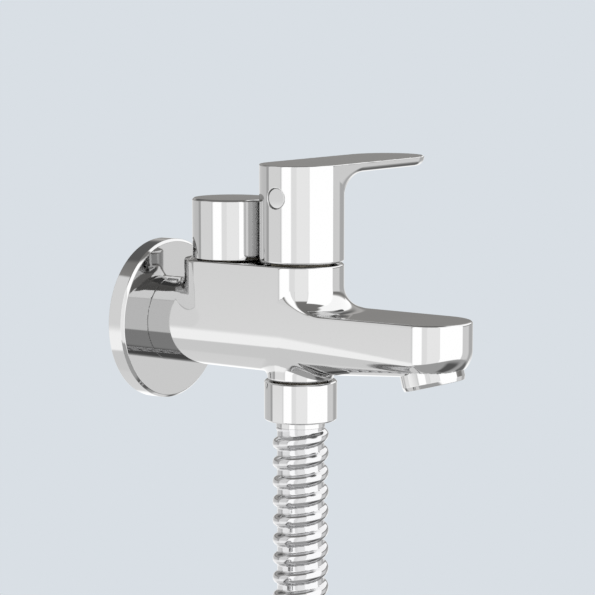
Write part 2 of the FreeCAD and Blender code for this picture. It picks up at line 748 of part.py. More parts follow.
for number, copies in ((1, 6), (2, 12)):
    spot = f"{number} * aerator_hole_spacing"
    hole_sketch = sketch_on(straightener, "XY_Plane", f"insert_hole_{number}")
    hole_sketch.addGeometry(Part.Circle(V(size(spot), 0, 0), V(0, 0, 1), size("aerator_hole_radius")))
    tie(hole_sketch, "DistanceX", 0, 3, spot)
    tie(hole_sketch, "DistanceY", 0, 3, "0")
    hole_sketch.addConstraint(Sketcher.Constraint("Radius", 0, size("aerator_hole_radius")))
    hole_sketch.setExpression("Constraints[2]", bound("aerator_hole_radius"))
    doc.recompute()
    hole = straightener.newObject("PartDesign::Pocket", f"insert_pocket_{number}")
    hole.Profile = hole_sketch
    hole.Type = 1
    hole.Midplane = True
    doc.recompute()
    pattern = straightener.newObject("PartDesign::PolarPattern", f"insert_holes_{number}")
    pattern.Originals = [hole]
    pattern.Axis = (hole_sketch, ["N_Axis"])
    pattern.Angle = 360
    pattern.Occurrences = copies
    straightener.Tip = pattern
    doc.recompute()
at(straightener, **on_aerator_axis("aerator_floor"))

# Coupling, modelled on the end of a hose at the origin, with the hose below: tail, nut and washer
FLANGE_BOTTOM = "(tail_collar + nut_shelf)"
FLANGE_TOP = "(" + FLANGE_BOTTOM + " + tail_flange_thick)"
WASHER_TOP = "(" + FLANGE_TOP + " + washer_thick)"
NUT_TOP = "(tail_collar + nut_length)"


def coupling(prefix):
    """The pieces of one hose end: a barbed tail, a washer and the swivel nut that draws them up."""
    tail = turned(prefix + "tail", [
        ("tail_bore_radius", "-tail_barb_length"),
        ("tail_barb_radius", "-tail_barb_length"),
        ("tail_barb_radius", "0"),
        ("tail_radius", "0"),
        ("tail_radius", FLANGE_BOTTOM),
        ("tail_flange_radius", FLANGE_BOTTOM),
        ("tail_flange_radius", FLANGE_TOP),
        ("tail_bore_radius", FLANGE_TOP),
    ])
    washer = ring(prefix + "washer", "nipple_bore_radius", "tail_flange_radius", "washer_thick")
    nut = turned(prefix + "nut", [
        ("tail_radius + swivel_play", "tail_collar"),
        ("nut_radius - nut_chamfer", "tail_collar"),
        ("nut_radius", "tail_collar + nut_chamfer"),
        ("nut_radius", NUT_TOP + " - nut_chamfer"),
        ("nut_radius - nut_chamfer", NUT_TOP),
        ("nipple_radius + thread_play", NUT_TOP),
        ("nipple_radius + thread_play", WASHER_TOP),
        ("nipple_radius + nut_relief", WASHER_TOP),
        ("nipple_radius + nut_relief", FLANGE_BOTTOM + " - swivel_play"),
        ("tail_radius + swivel_play", FLANGE_BOTTOM + " - swivel_play"),
    ])
    return tail, nut, washer


HOSE_TOP = "(boss_bottom - nut_gap - " + NUT_TOP + ")"
tail, nut, washer = coupling("hose_")
at(tail, x="outlet_place", z=HOSE_TOP)
at(nut, x="outlet_place", z=HOSE_TOP)
at(washer, x="outlet_place", z=HOSE_TOP + " + " + FLANGE_TOP)
turned("hose_nipple", [
    ("nipple_bore_radius", HOSE_TOP + " + " + WASHER_TOP),
    ("nipple_radius", HOSE_TOP + " + " + WASHER_TOP),
    ("nipple_radius", "boss_bottom"),
    ("nipple_root_radius", "boss_bottom"),
    ("nipple_root_radius", NIPPLE_ROOF + " - thread_play"),
    ("nipple_bore_radius", NIPPLE_ROOF + " - thread_play"),
], x="outlet_place")

# Hose line: straight down from the tail, one coil and a bit beside it, and a short straight end
coil_radius = size("hose_coil_radius")
coil_step = size("hose_coil_step")
run_length = size("hose_run_ribs * hose_pitch")
coil_length = size("hose_coil_ribs * hose_pitch")
bend_length = size("hose_bend_ribs * hose_pitch")
bend_radius = size("hose_bend_radius")
hose_start = V(size("outlet_place"), 0, size(HOSE_TOP))


def hose_spot(along):
    """Point of the hose's centre line, and its direction there, at a distance from the tail."""
    if along <= run_length:
        return hose_start + V(0, 0, -along), V(0, 0, -1)
    if along > run_length + coil_length + bend_length:
        # Straight end
        spot, heading = hose_spot(run_length + coil_length + bend_length)
        return spot + heading * (along - run_length - coil_length - bend_length), heading
    if along > run_length + coil_length:
        # Bend that leads the end out of the coil
        spot, heading = hose_spot(run_length + coil_length)
        outward = V(1, 0, 0).cross(heading).normalize()
        swung_by = (along - run_length - coil_length) / bend_radius
        spot = spot + heading * (bend_radius * math.sin(swung_by)) + outward * (bend_radius * (1 - math.cos(swung_by)))
        return spot, heading * math.cos(swung_by) + outward * math.sin(swung_by)
    turned_by = (along - run_length) / coil_radius
    shift = coil_step * (turned_by - math.sin(turned_by)) / (2 * math.pi)
    spot = hose_start + V(-shift, coil_radius * (math.cos(turned_by) - 1),
                          -run_length - coil_radius * math.sin(turned_by))
    slant = coil_step * (1 - math.cos(turned_by)) / (2 * math.pi * coil_radius)
    heading = V(-slant, -math.sin(turned_by), -math.cos(turned_by))
    return spot, heading.normalize()


def hose_circle(along, radius):
    """A circle square to the hose, its first point always on the side away from the wall."""
    spot, heading = hose_spot(along)
    across = V(1, 0, 0) - heading * heading.x
    placing = FreeCAD.Placement(spot, FreeCAD.Rotation(across, V(), heading, "ZXY"))
    circle = Part.Wire([Part.Circle(V(), V(0, 0, 1), radius).toShape()])
    circle.transformShape(placing.toMatrix())
    return circle


# Each rib rises from the valley, holds its crest and falls again: share of the pitch and radius
RIB = [(0.0, "hose_valley_radius"), (0.18, "hose_crest_radius"),
       (0.58, "hose_crest_radius"), (0.76, "hose_valley_radius")]


def ribbed_tube(name, first_rib, ribs, bore_steps):
    """A stretch of the hose: ribs outside, a smooth bore inside."""
    pitch = size("hose_pitch")
    begin, end = first_rib * pitch, (first_rib + ribs) * pitch
    outer = [hose_circle((rib + share) * pitch, size(radius))
             for rib in range(first_rib, first_rib + ribs) for share, radius in RIB]
    outer.append(hose_circle(end, size("hose_valley_radius")))
    inner = [hose_circle(begin + (end - begin) * step / bore_steps, size("hose_bore_radius"))
             for step in range(bore_steps + 1)]
    faces = Part.makeLoft(outer, False, True).Faces + Part.makeLoft(inner, False, True).Faces
    for rim, hole in ((outer[0], inner[0]), (outer[-1], inner[-1])):
        faces.append(Part.makeFace([rim, hole], "Part::FaceMakerBullseye"))
    skin = Part.Compound(faces)
    skin.sewShape()
    return solid_named(name, Part.Solid(skin.Shells[0]))


run_ribs, coil_ribs = int(size("hose_run_ribs")), int(size("hose_coil_ribs + hose_bend_ribs + hose_end_ribs"))
ribbed_tube("hose_run", 0, run_ribs, 1)
ribbed_tube("hose_coil", run_ribs, coil_ribs, coil_ribs // 2)
hose_length = size("hose_pitch") * (run_ribs + coil_ribs)


def least_self_gap():
    """Least distance between turns of the hose that lie beside each other, crest to crest."""
    step = size("hose_pitch")
    spots = [hose_spot(index * step)[0] for index in range(run_ribs + coil_ribs + 1)]
    apart = int(math.pi * coil_radius / step)
    return min((spots[late] - spots[early]).Length - 2 * size("hose_crest_radius")
               for early in range(len(spots)) for late in range(early + apart, len(spots)))


print("hose length", round(hose_length), "least gap between turns", round(least_self_gap(), 2))

# Tie round the two turns that lie beside each other
tie_along = run_length + (size("hose_tie_turn") - 1) * 2 * math.pi * coil_radius
tie_spot, tie_heading = hose_spot(tie_along)
tie_inner = size("hose_crest_radius + hose_tie_play")


def racetrack(radius):
    """A flat outline round two circles a coil's step apart, centred between them."""
    half = coil_step / 2
    corners = [V(-half, -radius, 0), V(half, -radius, 0), V(half, radius, 0), V(-half, radius, 0)]
    bends = [V(half + radius, 0, 0), V(-half - radius, 0, 0)]
    return Part.Face(Part.Wire([
        Part.LineSegment(corners[0], corners[1]).toShape(),
        Part.Arc(corners[1], bends[0], corners[2]).toShape(),
        Part.LineSegment(corners[2], corners[3]).toShape(),
        Part.Arc(corners[3], bends[1], corners[0]).toShape(),
    ]))


width = size("hose_tie_width")
band = racetrack(tie_inner + size("hose_tie_thick")).extrude(V(0, 0, width))
band = band.cut(racetrack(tie_inner).extrude(V(0, 0, width)))
hose_tie = solid_named("hose_tie", band)
half_step = V(-coil_step / 2, 0, 0)
hose_tie.Placement = FreeCAD.Placement(
    tie_spot + half_step - tie_heading * (width / 2),
    FreeCAD.Rotation(V(1, 0, 0), V(), tie_heading, "ZXY"))

# Far end of the hose: the same coupling, turned to the hose's last direction
far_spot, far_heading = hose_spot(hose_length)
far_turn = FreeCAD.Rotation(V(0, 0, 1), far_heading)
tail, nut, washer = coupling("hose_far_")
for piece, along in ((tail, 0.0), (nut, 0.0), (washer, size(FLANGE_TOP))):
    piece.Placement = FreeCAD.Placement(far_spot + far_heading * along, far_turn)
print("far end", [round(value, 2) for value in far_spot], "heading", [round(value, 4) for value in far_heading])

# Every piece is checked, then written to a file of its own name
NODES = """
body_casting wall_flange
lever_headwork lever_spindle lever_fixed_disc lever_turning_disc lever_seat_seal lever_spindle_ring
lever_circlip lever_handle lever_bush lever_grub_screw lever_index_plug
knob_headwork knob_spindle knob_fixed_disc knob_turning_disc knob_seat_seal knob_spindle_ring
knob_circlip knob knob_bush knob_grub_screw
aerator_housing aerator_insert aerator_washer
hose_nipple hose_nut hose_tail hose_washer hose_run hose_coil hose_tie
hose_far_tail hose_far_nut hose_far_washer
""".split()

doc.recompute()
faulty = [obj.Label for obj in doc.Objects if {"Invalid", "Error"} & set(obj.State)]
if faulty:
    raise RuntimeError("not built: " + ", ".join(faulty))
os.makedirs("parts", exist_ok=True)
for label in NODES:
    shape = doc.getObjectsByLabel(label)[0].Shape
    if shape.isNull() or not shape.isValid() or not shape.Solids:
        raise RuntimeError("no sound shape: " + label)
    shape.exportStep(os.path.join("parts", label + ".step"))
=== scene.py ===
"""Two-way bib tap: a chrome body on a wall flange, with a lever over its spout and a knob for its hose.

Run as a script in Blender 4.5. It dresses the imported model, which is loaded as a fixed frame, in metres.
"""

import json
import math
from contextlib import contextmanager
from functools import reduce

import bpy
import numpy as np
from bpy.props import FloatProperty, FloatVectorProperty, IntProperty, PointerProperty
from bpy.types import Operator, Panel, PropertyGroup
from mathutils import Matrix, Vector


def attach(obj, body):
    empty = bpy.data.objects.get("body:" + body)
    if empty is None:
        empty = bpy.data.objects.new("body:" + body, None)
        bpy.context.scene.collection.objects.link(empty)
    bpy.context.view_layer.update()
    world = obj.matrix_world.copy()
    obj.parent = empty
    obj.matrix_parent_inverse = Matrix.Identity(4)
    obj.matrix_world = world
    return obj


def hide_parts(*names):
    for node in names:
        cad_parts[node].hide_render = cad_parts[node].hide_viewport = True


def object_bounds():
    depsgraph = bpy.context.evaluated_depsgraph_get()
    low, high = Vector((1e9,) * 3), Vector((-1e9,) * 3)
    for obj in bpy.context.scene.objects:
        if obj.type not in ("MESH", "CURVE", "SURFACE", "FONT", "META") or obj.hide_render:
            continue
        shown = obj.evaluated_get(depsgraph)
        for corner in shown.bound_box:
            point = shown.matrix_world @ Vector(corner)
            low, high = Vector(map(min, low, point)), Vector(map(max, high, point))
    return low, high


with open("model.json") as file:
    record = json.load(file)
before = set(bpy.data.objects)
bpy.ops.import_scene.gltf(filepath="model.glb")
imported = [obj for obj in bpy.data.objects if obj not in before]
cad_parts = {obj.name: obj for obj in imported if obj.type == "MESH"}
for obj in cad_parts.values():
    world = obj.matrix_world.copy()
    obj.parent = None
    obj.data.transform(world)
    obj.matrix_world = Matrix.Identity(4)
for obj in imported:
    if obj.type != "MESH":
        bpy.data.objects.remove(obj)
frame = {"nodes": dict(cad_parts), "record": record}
CAD_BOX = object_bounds()

bl_info = {
    "name": "Two-way Bib Tap",
    "version": (1, 0, 0),
    "blender": (4, 5, 0),
    "location": "View3D > Sidebar > Bib Tap",
    "description": "Builds the chrome bib tap with its handles and hose",
    "category": "Add Mesh",
}

MM = 0.001
# Points nearer than this are one
SAME_SPOT = 1e-6
TAP, LEVER, KNOB, FAR_NUT = "tap_body", "lever", "knob", "far_nut"
ALONG_X = Matrix.Rotation(math.radians(90), 4, "Y")


def mm(name, description, value):
    """A length property whose default is given in millimetres."""
    return FloatProperty(name=name, description=description, default=value * MM, unit="LENGTH", precision=5)


def degrees(name, description, value):
    """An angle property whose default is given in degrees."""
    return FloatProperty(name=name, description=description, default=math.radians(value), subtype="ANGLE")


def linear(code):
    """An sRGB hex colour as linear red, green, blue and alpha."""
    channels = [int(code[place:place + 2], 16) / 255 for place in (1, 3, 5)]
    return tuple(c / 12.92 if c <= 0.04045 else ((c + 0.055) / 1.055) ** 2.4 for c in channels) + (1.0,)


def colour(name, description, code):
    """A colour property whose default is given as sRGB hex."""
    return FloatVectorProperty(name=name, description=description, default=linear(code),
                               size=4, subtype="COLOR", min=0, max=1)


class CastingSizes(PropertyGroup):
    half_width: mm("Half width", "Radius of the neck, the column and the block's ends", 16.7)
    height: mm("Height", "Top of the body above the inlet's axis", 25.8)
    neck_start: mm("Neck start", "Front of the wall flange", 7.2)
    rear_place: mm("Rear place", "Centre of the block's round rear end", 33.7)
    front_place: mm("Front place", "Centre of the column", 68.4)
    seam_blend: mm("Seam blend", "Fillet between the block and the neck", 5.0)
    root_fillet: mm("Root fillet", "Fillet where the column stands on the spout", 9.0)
    edge: mm("Edge", "Round of the cast edges", 0.9)
    root_edge: mm("Root edge", "Round of the spout's upper edge by the column", 1.4)
    spout_start: mm("Spout start", "Where the spout starts to flatten", 70.4)
    spout_height: mm("Spout height", "Flat top of the spout", 8.4)
    tip_place: mm("Tip place", "Centre of the spout's round tip", 126.6)
    tip_radius: mm("Tip radius", "Radius of the tip from above", 15.2)
    tip_round: mm("Tip round", "Lower round of the spout at its tip", 6.2)
    chin: mm("Chin", "Growth of that round towards the front", 3.3)
    spout_rise: degrees("Spout rise", "Slope of the spout's keel", 5.55)
    outlet_place: mm("Outlet place", "Axis of the hose outlet", 68.6)
    boss_radius: mm("Boss radius", "Boss above the hose nut", 12.7)
    boss_bottom: mm("Boss bottom", "Lower face of that boss", -18.5)
    boss_blend: mm("Boss blend", "Fillet between the boss and the belly", 2.5)
    boss_root: mm("Boss root", "Upper end of that boss, inside the belly", -4.0)
    chamber_radius: mm("Chamber radius", "Thread of each valve chamber", 10.48)
    chamber_thread: mm("Chamber thread", "Depth of that thread below the body's top", 12.0)
    chamber_bore: mm("Chamber bore", "Valve chamber below its thread", 9.5)
    chamber_floor: mm("Chamber floor", "Floor of each valve chamber", 1.0)
    inlet_bore: mm("Inlet bore", "Waterway through the inlet", 6.5)
    inlet_depth: mm("Inlet depth", "End of that waterway", 24.0)
    nipple_bore: mm("Nipple bore", "Threaded hole for the hose nipple", 8.08)
    nipple_depth: mm("Nipple depth", "Depth of that hole", 8.0)
    aerator_socket: mm("Aerator socket", "Socket for the aerator's ring", 12.0)
    aerator_seat: mm("Aerator seat", "Top of that socket above the mouth", 7.3)
    aerator_thread: mm("Aerator thread", "Thread over that socket", 10.58)
    thread_top: mm("Thread top", "Top of that thread above the mouth", 10.0)
    throat: mm("Throat", "Waterway over that thread", 8.0)
    throat_top: mm("Throat top", "Top of that waterway above the mouth", 13.0)
    hole_edge: mm("Hole edge", "Round at the mouths of the holes", 0.3)
    grain: mm("Grain", "Size of the casting's mesh", 0.5)


class HandleSizes(PropertyGroup):
    lever_place: mm("Lever place", "Axis of the lever", 69.1)
    lever_radius: mm("Lever radius", "Radius of the hub and of the blade's tip", 16.1)
    lever_skirt: mm("Lever skirt", "Bottom of the hub", 26.6)
    lever_top: mm("Lever top", "Top of the lever over its axis", 63.5)
    blade_thick: mm("Blade thickness", "Thickness of the blade", 3.8)
    blade_reach: mm("Blade reach", "From the axis to the blade's round tip", 52.4)
    blade_round: mm("Blade round", "Round of the blade's lower edge", 3.0)
    root_fillet: mm("Root fillet", "Fillet under the blade", 8.0)
    blade_rise: degrees("Blade rise", "Slope of the blade", 0.7)
    open_turn: degrees("Open turn", "How far the lever stands from the spout", 87.0)
    hollow_radius: mm("Hollow radius", "Inside of the hub", 14.1)
    hollow_top: mm("Hollow top", "Top of the hollow in the hub", 44.0)
    bush_radius: mm("Bush radius", "Socket for the splined bush", 7.05)
    bush_top: mm("Bush top", "Top of that socket", 57.0)
    plug_height: mm("Plug height", "Centre of the index plug", 51.2)
    plug_radius: mm("Plug radius", "Radius of the index plug", 3.9)
    plug_depth: mm("Plug depth", "Depth of the plug's recess", 2.4)
    plug_play: mm("Plug play", "Gap round the plug in it", 0.05)
    plug_thick: mm("Plug thickness", "Thickness of the plug", 1.6)
    lever_hole: mm("Lever hole", "Radius of the screw hole behind the plug", 2.55)
    edge: mm("Edge", "Round of the handles' edges", 0.4)
    skirt_round: mm("Skirt round", "Round of the hub's lower edge", 0.9)
    knob_place: mm("Knob place", "Axis of the knob", 36.3)
    knob_radius: mm("Knob radius", "Radius of the knob", 15.5)
    knob_skirt: mm("Knob skirt", "Bottom of the knob", 26.3)
    knob_top: mm("Knob top", "Top of the knob", 49.3)
    knob_chamfer: mm("Knob chamfer", "Chamfer round the knob's top", 0.7)
    knob_wall: mm("Knob wall", "Wall of the hollow knob", 1.8)
    knob_hollow: mm("Knob hollow", "Top of the knob's hollow", 39.6)
    knob_bush_top: mm("Knob bush top", "Top of the knob's bush socket", 45.2)
    knob_screw: mm("Knob screw", "Height of the screw hole behind the knob", 42.4)
    knob_hole: mm("Knob hole", "Radius of that hole", 2.05)
    hole_edge: mm("Hole edge", "Round at the mouths of the lever's holes", 0.25)
    grain: mm("Grain", "Size of the lever's mesh", 0.42)


class HoseSizes(PropertyGroup):
    top: mm("Top", "Height of the hose's upper end", -36.7)
    run: mm("Run", "Straight stretch below the tap", 180.0)
    coil_radius: mm("Coil radius", "Radius of the stored coil", 112.0)
    coil_step: mm("Coil step", "From one turn to the next", 25.5)
    coil_turn: degrees("Coil turn", "How far the coil goes round", math.degrees(742.5 / 112))
    bend_radius: mm("Bend radius", "Radius of the bend out of the coil", 86.0)
    bend_turn: degrees("Bend turn", "How far that bend goes round", math.degrees(52.5 / 86))
    end_run: mm("End run", "Straight stretch before the far nut", 22.5)
    crest: mm("Crest", "Radius over the ribs", 10.75)
    valley: mm("Valley", "Radius between the ribs", 9.0)
    bore: mm("Bore", "Radius of the hose's inside", 6.5)
    pitch: mm("Pitch", "From rib to rib", 7.5)
    rib_share: FloatProperty(name="Rib share", description="A rib's share of the pitch", default=0.64)
    length: mm("Length", "Real length of the hose", 997.5)
    tie_width: mm("Tie width", "Width of the tie", 9.0)
    tie_thick: mm("Tie thickness", "Thickness of the tie", 1.2)
    tie_play: mm("Tie play", "Gap between the tie and the ribs", 0.25)
    tie_place: degrees("Tie place", "How far round the coil the tie sits", math.degrees(0.1885))


class Finishes(PropertyGroup):
    chrome: colour("Chrome", "Polished chrome plate", "#C8C8C8")
    # A little darker than the chrome: painted shade for the valleys between the hose's ribs
    hose: colour("Hose", "Chromed hose", "#C4C4C5")
    # Darker than the metal itself: painted shade for the narrow gaps where the valve heads and the hose
    # nipple show
    brass: colour("Brass", "Nickel-washed brass", "#625E55")
    steel: colour("Steel", "Stainless steel", "#C6C6C4")
    ceramic: colour("Ceramic", "Alumina discs", "#EDE9E0")
    rubber: colour("Rubber", "Black rubber", "#1C1C1D")
    insert: colour("Insert", "Acetal of the aerator", "#DADCDD")
    bush: colour("Bush", "Nylon of the bushes", "#E9E6DC")
    tie: colour("Tie", "Tie round the coil", "#D9DADB")
    backdrop: colour("Backdrop", "Pale backdrop", "#D9DFE5")


class TapSettings(PropertyGroup):
    casting: PointerProperty(type=CastingSizes)
    handles: PointerProperty(type=HandleSizes)
    hose: PointerProperty(type=HoseSizes)
    finishes: PointerProperty(type=Finishes)
    lathe_steps: IntProperty(name="Lathe steps", description="Faces round a piece", default=160, min=32)


def settings():
    """The tap's sizes and colours in this scene."""
    return bpy.context.scene.tap_settings


# Modelling helpers

def deselect():
    """Selects nothing, so that a new primitive is alone."""
    bpy.ops.object.select_all(action="DESELECT")


def select(*pieces):
    """Selects only these pieces. The first one is active."""
    deselect()
    for piece in pieces:
        piece.select_set(True)
    bpy.context.view_layer.objects.active = pieces[0]


@contextmanager
def editing(piece, whole=True):
    """Edit mode on a piece, with all of it selected or with the selection that it has."""
    select(piece)
    bpy.ops.object.mode_set(mode="EDIT")
    if whole:
        bpy.ops.mesh.select_all(action="SELECT")
    yield
    bpy.ops.object.mode_set(mode="OBJECT")


def named(piece, name):
    """Gives a piece and its mesh their name."""
    piece.name = piece.data.name = name
    return piece


def apply_modifier(piece, kind, **values):
    """Adds a modifier with these values and applies it."""
    select(piece)
    modifier = piece.modifiers.new(kind.lower(), kind)
    for name, value in values.items():
        setattr(modifier, name, value)
    bpy.ops.object.modifier_apply(modifier=modifier.name)


def put_in_place(piece, place):
    """Moves a finished piece and writes its place into its mesh."""
    select(piece)
    piece.matrix_world = place
    bpy.ops.object.transform_apply()


def stock(primitive, **values):
    """A primitive, added alone at its size and place, with its place in its mesh."""
    deselect()
    primitive(**values)
    bpy.ops.object.transform_apply()
    return bpy.context.active_object


def shade(piece, edge, limit=35):
    """Small rounds on the hard edges, then smooth shading that keeps the flats flat."""
    if edge:
        apply_modifier(piece, "BEVEL", width=edge, segments=3, limit_method="ANGLE",
                       angle_limit=math.radians(limit), use_clamp_overlap=True)
    select(piece)
    bpy.ops.object.shade_smooth_by_angle(angle=math.radians(limit + 10))
    apply_modifier(piece, "WEIGHTED_NORMAL", keep_sharp=True, weight=90)


def turned(name, outline, place=None, edge=0.0, closed=True, limit=35):
    """A lathe piece: an outline of (radius, height) in millimetres, drawn point by point and spun about Z."""
    spots = [Vector((radius * MM, 0, height * MM)) for radius, height in outline]
    if closed:
        spots.append(spots[0])
    piece = named(stock(bpy.ops.mesh.primitive_plane_add, size=MM), name)
    with editing(piece):
        bpy.ops.mesh.merge(type="CENTER")
        bpy.ops.transform.translate(value=spots[0])
        for start, end in zip(spots, spots[1:]):
            bpy.ops.mesh.extrude_vertices_move(TRANSFORM_OT_translate={"value": end - start})
        bpy.ops.mesh.select_all(action="SELECT")
        bpy.ops.mesh.spin(steps=settings().lathe_steps, angle=math.tau, center=(0, 0, 0), axis=(0, 0, 1))
        bpy.ops.mesh.select_all(action="SELECT")
        bpy.ops.mesh.remove_doubles(threshold=SAME_SPOT)
        bpy.ops.mesh.normals_make_consistent(inside=False)
    shade(piece, edge, limit)
    put_in_place(piece, place or Matrix())
    return piece


def rod(radius, start, end, sides=96):
    """A cylinder between two points, as stock or as a cutter."""
    start, axis = Vector(start), Vector(end) - Vector(start)
    return stock(bpy.ops.mesh.primitive_cylinder_add, vertices=sides, radius=radius, depth=axis.length,
                 location=(start + Vector(end)) / 2, rotation=axis.to_track_quat("Z", "Y").to_euler())


def post(radius, place, low, high):
    """An upright cylinder at a place along the tap."""
    return rod(radius, (place, 0, low), (place, 0, high))


def ball(radius, spot):
    """A sphere as stock."""
    return stock(bpy.ops.mesh.primitive_uv_sphere_add, segments=64, ring_count=32, radius=radius,
                 location=spot)


def bar(low, high):
    """A box between two corners, as stock."""
    low, high = Vector(low), Vector(high)
    return stock(bpy.ops.mesh.primitive_cube_add, size=1, location=(low + high) / 2, scale=high - low)


def joined(*pieces):
    """One object of several."""
    select(*pieces)
    bpy.ops.object.join()
    return bpy.context.active_object


def hulled(*pieces):
    """The convex hull of several pieces of stock."""
    piece = joined(*pieces)
    with editing(piece):
        bpy.ops.mesh.convex_hull()
    return piece


def remeshed(piece, size):
    """The piece's volume as one even mesh."""
    select(piece)
    piece.data.remesh_voxel_size = size
    piece.data.use_remesh_preserve_volume = True
    bpy.ops.object.voxel_remesh()
    return piece


def drill(piece, cutter):
    """Cuts the cutter away and deletes it."""
    apply_modifier(piece, "BOOLEAN", operation="DIFFERENCE", solver="MANIFOLD", object=cutter)
    bpy.data.meshes.remove(cutter.data)


def vertex_places(mesh):
    """The mesh's vertices as rows of x, y and z."""
    places = np.empty(len(mesh.vertices) * 3, dtype=np.float32)
    mesh.vertices.foreach_get("co", places)
    return places.reshape(-1, 3).astype(float)


def unit(rows):
    """Each row at a length of one."""
    return rows / np.maximum(np.linalg.norm(rows, axis=1), 1e-9)[:, None]


def slope_of(form, places, step=2e-5):
    """The gradient of a form's value at each place."""
    slopes = np.empty_like(places)
    for axis in range(3):
        shift = np.zeros(3)
        shift[axis] = step
        slopes[:, axis] = (form(*(places + shift).T) - form(*(places - shift).T)) / (2 * step)
    return slopes


def pressed(piece, form, rounds=4, reach=1.5 * MM):
    """Presses the mesh onto the surface where the form's value is nothing, as a casting is ground to its
    pattern, and takes its normals from the form."""
    mesh = piece.data
    for turn in range(rounds):
        places = vertex_places(mesh)
        for _ in range(4):
            slopes = slope_of(form, places)
            size = np.maximum((slopes ** 2).sum(axis=1), 0.05)
            moves = -(form(*places.T) / size)[:, None] * slopes
            far = np.maximum(np.linalg.norm(moves, axis=1) / reach, 1.0)
            places += moves / far[:, None]
        mesh.vertices.foreach_set("co", places.astype(np.float32).ravel())
        mesh.update()
        if turn < rounds - 1:
            apply_modifier(piece, "SMOOTH", factor=0.5, iterations=2)
    select(piece)
    bpy.ops.object.shade_smooth()
    mesh.normals_split_custom_set_from_vertices(unit(slope_of(form, vertex_places(mesh))))
    return piece


def ribbed_tube(name, centres, headings, across, outside, bore, around):
    """A closed tube wall that follows rings: outside gives the outer radius for each ring and turn."""
    rings = len(centres)
    turns = np.arange(around) / around
    side = np.cross(across, headings)
    spokes = (across[:, None, :] * np.cos(math.tau * turns)[None, :, None]
              + side[:, None, :] * np.sin(math.tau * turns)[None, :, None])
    radii = outside(turns)
    outer = centres[:, None, :] + spokes * radii[:, :, None]
    inner = centres[:, None, :] + spokes * bore
    places = np.concatenate([outer, inner[::-1]]).reshape(-1, 3)
    loops = 2 * rings
    ring, spot = np.meshgrid(np.arange(loops), np.arange(around), indexing="ij")
    following, beside = (ring + 1) % loops, (spot + 1) % around
    faces = np.stack([ring * around + spot, ring * around + beside,
                      following * around + beside, following * around + spot], axis=-1).reshape(-1, 4)
    mesh = bpy.data.meshes.new(name)
    mesh.from_pydata(places.tolist(), [], faces.tolist())
    piece = bpy.data.objects.new(name, mesh)
    bpy.context.collection.objects.link(piece)
    with editing(piece):
        bpy.ops.mesh.normals_make_consistent(inside=False)
    bpy.ops.object.shade_smooth_by_angle(angle=math.radians(50))
    return piece


def finished(piece, body, slot, *nodes):
    """Gives a piece its slot's finish and its body, and hides the CAD nodes that it stands for."""
    piece.data.materials.clear()
    piece.data.materials.append(finish_of(slot))
    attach(piece, body)
    if nodes:
        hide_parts(*nodes)
    return piece


# Forms of the cast pieces, as values that are negative inside the metal

def round_union(first, second, radius):
    """Two forms together, with a fillet in the corner between them."""
    return (np.maximum(radius, np.minimum(first, second))
            - np.hypot(np.maximum(radius - first, 0), np.maximum(radius - second, 0)))


def round_common(first, second, radius):
    """What two forms share, with a round on the edge between them."""
    return (np.minimum(-radius, np.maximum(first, second))
            + np.hypot(np.maximum(radius + first, 0), np.maximum(radius + second, 0)))


def soft_lesser(first, second, radius):
    """The lesser of two distances, with a fillet where they are alike."""
    gap = first - second
    arc = (first + second) / 2 - radius + np.sqrt(np.maximum(2 * radius ** 2 - gap ** 2, 0)) / 2
    return np.where(np.abs(gap) >= radius, np.minimum(first, second), arc)


def bores(*holes):
    """Bores together. Each is the distance outside its wall and the distance past its end."""
    return reduce(np.minimum, (np.maximum(wall, end) for wall, end in holes))


# The aerator's mouth and how far its axis leans
AERATOR_MOUTH = (128.3 * MM, 0, -15.5 * MM)
AERATOR_LEAN = math.radians(15)
AERATOR_PLACE = Matrix.Translation(AERATOR_MOUTH) @ Matrix.Rotation(-AERATOR_LEAN, 4, "Y")


def aerator_axis(x, y, z):
    """Height above the aerator's mouth along its leaning axis, and distance from that axis."""
    dx, dz = x - AERATOR_MOUTH[0], z - AERATOR_MOUTH[2]
    slant, level = math.sin(AERATOR_LEAN), math.cos(AERATOR_LEAN)
    return -slant * dx + level * dz, np.hypot(y, level * dx + slant * dz)


# The spout's form counts below this height and beyond this place, and the round by the column fades over
# this length
SPOUT_ROOF, SPOUT_REAR, ROOT_FADE = 20 * MM, 50 * MM, 22 * MM
NECK_EDGE = 0.2 * MM


